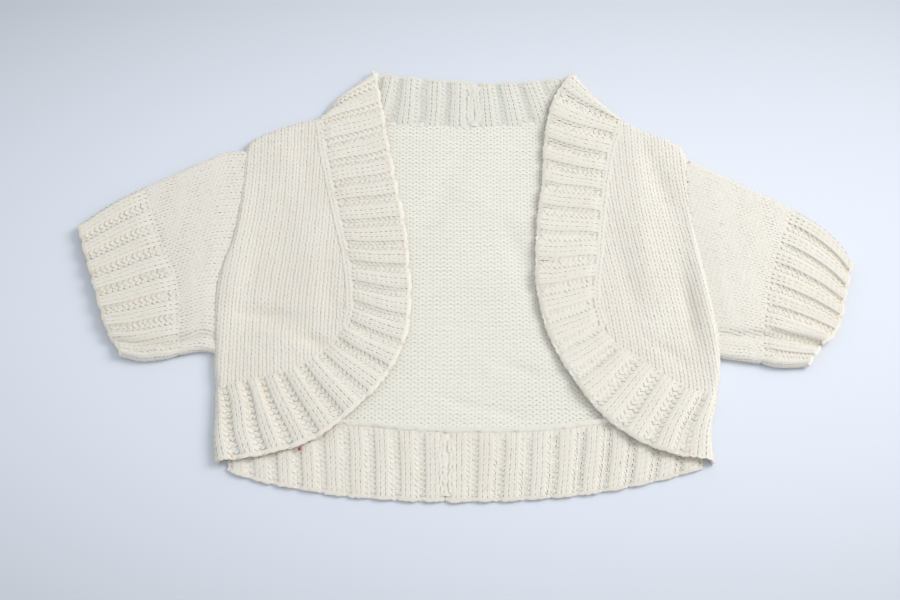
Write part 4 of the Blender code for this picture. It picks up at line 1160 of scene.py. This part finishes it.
def tubeTop(width, sizes, s):  # the upper half of a section: out along the row, and height
    edge, crown, creaseAt, creaseDepth = sizes
    radius = edge / 2
    flat = width - 2 * radius
    inner = np.clip(s, 0, 1)
    out = radius + inner * flat
    crease = creaseDepth * np.exp(-(((width - creaseAt - out) / tubes["creaseWidth"]) ** 2))
    z = edge + crown * np.sin(math.pi * inner) ** tubes["crownFullness"] - crease
    past = np.maximum(-s, s - 1) * flat / radius
    angle = math.pi / 2 - np.clip(past, 0, math.radians(tubes["pastMost"]))
    onFold = past > 0
    foldOut = radius - radius * np.cos(angle)
    out = np.where(onFold, np.where(s < 0, foldOut, width - foldOut), out)
    z = np.where(onFold, radius + radius * np.sin(angle) + (z - edge) * np.cos(past) ** 2, z)
    return out, z


def sheetOfRows(lines, along):
    start, end, topFold, bottomFold = lines
    return fourSided(topFold, bottomFold, start, end, along, np.linspace(0, 1, tubes["rowPoints"]),
                     tubes["bowFade"])


def rowPoints(row, out, z):
    run = runLengths(row)
    return np.column_stack([np.interp(out, run, row[:, 0]), np.interp(out, run, row[:, 1]), z])


def sectionAt(sections, share):
    at, *sizes = zip(*sections)
    return [np.interp(share, at, size) for size in sizes]


def tubeSurface(lines, sections, s, along):
    grid = []
    for row, share in zip(sheetOfRows(lines, along), along):
        out, z = tubeTop(runLengths(row)[-1], sectionAt(sections, share), s)
        grid.append(rowPoints(row, out, z))
    return np.array(grid).transpose(1, 0, 2)


def tubeShell(name, lines, sections, along, lift, depth):  # a closed ring on the solid's form
    turns, sunkSpan = np.radians(np.array(section["turns"])), [math.radians(turn) for turn in section["sunk"]]
    shares, low = np.linspace(0, 1, section["top"]), np.linspace(*section["low"])
    outer, inner = [], []
    for row, share in zip(sheetOfRows(lines, along), along):
        sizes = sectionAt(sections, share)
        width, radius = runLengths(row)[-1], sizes[0] / 2
        out, z = tubeTop(width, sizes, shares)
        sunk = radius - depth * eased(turns, *sunkSpan)
        wall = radius - cloth["wall"]
        foldOut, foldZ = radius - sunk * np.cos(turns), radius + sunk * np.sin(turns)
        inOut, inZ = radius - wall * np.cos(turns), radius + wall * np.sin(turns)
        lowOut, flatLow = radius + low * (width - 2 * radius), np.zeros(len(low))
        topZ = z + lift(shares, share) - depth
        outer.append(rowPoints(row, np.concatenate([foldOut, out, width - foldOut[::-1], lowOut]),
                               np.concatenate([foldZ, topZ, foldZ[::-1], flatLow])))
        inner.append(rowPoints(row, np.concatenate([inOut, out, width - inOut[::-1], lowOut]),
                               np.concatenate([inZ, z - cloth["wall"], inZ[::-1], flatLow + cloth["wall"]])))
    outer, inner = (np.array(grid).transpose(1, 0, 2) for grid in (outer, inner))
    return addShell(name, outer, inner, ring=True)


def makeSleeve(side):
    lines, _ = sleeveLines(side)
    sections, past, wales = tubes["sleeve"][side], tubes["past"]["sleeve"], tubes["wales"]
    s, along = np.linspace(-past, 1 + past, tubes["across"]["sleeve"]), np.linspace(0, 1, tubes["along"])
    body = tubeShell(f"sleeve{side.title()}Cloth", lines, sections, along, lambda shares, share: 0 * shares,
                     shell["sleeve"])
    under = tubes["underFront"] * (1 if side == "right" else -1)
    grid = tubeSurface((lines[0] - (under, 0), *lines[1:]), sections, s, along)
    surface = surfaceFrom(grid)
    lengths = np.array([runLengths(line)[-1] for line in grid])
    byRow, byWale = tubes["swayTurns"]

    def alongAt(wale, row):
        reach = np.interp((wale + 0.5) / wales, np.linspace(0, 1, len(s)), lengths)
        return 1 - (row + tubes["firstRow"]) * yarn["rowHeight"] / reach

    def place(wale, row):
        sway = tubes["sway"] * np.sin(row * byRow + wale * byWale)
        return surface((wale + 0.5) / wales + sway, alongAt(wale, row))

    def radius(wale, row):
        return tubes["radius"] + tubes["spread"] * (1 - np.clip(alongAt(wale, row), 0, 1))

    courses = [(row, start, stop - 1) for row in range(tubes["rows"])
               for start, stop in stretchesIn(alongAt(np.arange(wales), row) > tubes["start"])]
    stitches = layCourses(courses, place, plainFace, tubes["seed"], radius)
    knit = addStrands(f"sleeve{side.title()}Knit", stitches, "woolPlain")
    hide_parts(f"sleeve_{side}")
    return finish(body, [knit], tubes["fuzz"], "woolPlain")


def makeCuff(side):
    _, lines = sleeveLines(side)
    name, seed, ribs = "cuff" + side.title(), bands["seeds"]["cuff"], bands["ribs"]["cuff"]
    sections, shift, past = tubes["cuff"][side], bands["cuffShift"][side], tubes["past"]["cuff"]
    s, along = np.linspace(-past, 1 + past, tubes["across"]["cuff"]), np.linspace(0, 1, tubes["along"])
    base = tubeSurface(lines, sections, s, along)
    normals = gridNormals(base)

    def shapeAt(shares):
        return ribShape(np.mod(shares * ribs + shift, 1), "cuff")

    def clothLift(shares, share):
        return cloth["ribRise"] * shapeAt(shares) * eased(share, *tubes["softSpan"]["cloth"])

    lift = (bands["cuffRise"][side] + bands["valley"]) * shapeAt(s) - bands["valley"]
    soft = tubes["cuffSoft"] + (1 - tubes["cuffSoft"]) * eased(along, *tubes["softSpan"]["knit"])
    top = scalloped(base, shapeAt(s)) + normals * (lift[:, None] * soft)[..., None]
    body = tubeShell(name + "Cloth", lines, sections, along, clothLift, shell["cuff"])
    start, stop = -past + shift / ribs, 1 + past + shift / ribs
    knit = knitBand(name + "Knit", top, ribs, "cuff", seed, start, stop, (-2, walesPerRib * ribs + 3))
    first, last = bands["rimCut"]["cuff"]
    rope = edgeRim(name + "Rim", top[first:-last], seed + 2, rims["band"])
    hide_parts(f"cuff_{side}")
    return finish(body, [knit, rope], bands["fuzz"]["cuff"], "woolRib")


# the camera, the light and the table

stage = {
    "lookAt": (-0.009, -0.020, 0.0),
    "distance": 1.195,
    "elevation": 60.0,
    "lens": 72.8,
    "sensor": 36.0,
    "floorSize": 6,
    "floorColour": (0.70, 0.735, 0.81),
    "farShare": 0.6,  # the share of its colour that the table keeps far from the painted pool of light
    "floorRoughness": 0.8,
    "pool": (0.002, -0.012),  # the painted pool of light in the table's colour falls off evenly from here
    "poolScale": (1.6, 3.05, 0.0),
    "skyColour": (0.93, 0.965, 1.0),
    "sky": 0.78,
    "key": {"energy": 19.0, "place": (1.2, 0.34, 1.2), "size": 0.9, "colour": (1.0, 0.98, 0.95)},
    "fill": {"energy": 1.5, "place": (0.3, -1.3, 1.2), "size": 1.4, "colour": (0.96, 0.98, 1.0)},
}


def addLight(name):
    light = bpy.data.lights.new(name, "AREA")
    light.energy, light.size, light.color = (stage[name][what] for what in ("energy", "size", "colour"))
    lamp = bpy.data.objects.new(name, light)
    lamp.location = stage[name]["place"]
    lamp.rotation_euler = (-Vector(stage[name]["place"])).to_track_quat("-Z", "Y").to_euler()
    bpy.context.scene.collection.objects.link(lamp)


def makePaper():
    paper = bpy.data.materials.new("palePaper")
    paper.use_nodes = True
    nodes = paper.node_tree.nodes
    shader = setInputs(nodes["Principled BSDF"], {"Roughness": stage["floorRoughness"]})
    kinds = ("TexCoord", "Mapping", "VectorMath", "MapRange", "Mix")
    spots, pool, far, fade, blend = (nodes.new("ShaderNode" + kind) for kind in kinds)
    # the table's colour darkens with distance from a middle point: a painted pool of light
    middle = [-a * b for a, b in zip(stage["pool"], stage["poolScale"])]
    setInputs(pool, {"Location": (*middle, 0), "Scale": stage["poolScale"]})
    far.operation, blend.data_type = "DOT_PRODUCT", "RGBA"
    dark = [stage["farShare"] * part for part in stage["floorColour"]]
    setInputs(blend, {"A": (*stage["floorColour"], 1), "B": (*dark, 1)})
    joinNodes(paper, (
        (spots, "Object", pool, "Vector"), (pool, "Vector", far, 0), (pool, "Vector", far, 1),
        (far, "Value", fade, "Value"), (fade, "Result", blend, "Factor"),
        (blend, "Result", shader, "Base Color")))
    return paper


def setStage():
    rise = math.radians(stage["elevation"])
    target = Vector(stage["lookAt"])
    away = Vector((0, -math.cos(rise), math.sin(rise)))
    camera = bpy.data.objects.new("camera", bpy.data.cameras.new("camera"))
    camera.data.lens, camera.data.sensor_width = stage["lens"], stage["sensor"]
    camera.location = target + away * stage["distance"]
    camera.rotation_euler = (-away).to_track_quat("-Z", "Y").to_euler()
    bpy.context.scene.collection.objects.link(camera)
    bpy.context.scene.camera = camera
    bpy.ops.mesh.primitive_plane_add(size=stage["floorSize"])
    floor = bpy.context.object
    floor.name = "floor"
    floor.data.materials.append(makePaper())
    addLight("key")
    addLight("fill")
    world = bpy.data.worlds.new("studio")
    world.use_nodes = True
    sky = {"Color": (*stage["skyColour"], 1), "Strength": stage["sky"]}
    setInputs(world.node_tree.nodes["Background"], sky)
    bpy.context.scene.world = world
    bpy.context.scene.view_settings.view_transform = "Standard"


makeBack()
print("back laid")
makeLowerBands()
makeFleck()
print("hem and neck laid")
for side in sides:
    makeSleeve(side)
    makeCuff(side)
print("sleeves laid")
for side in sides:
    makeFront(side)
    makeFrontBand(side)
print("fronts laid")
setStage()
print("stage set")
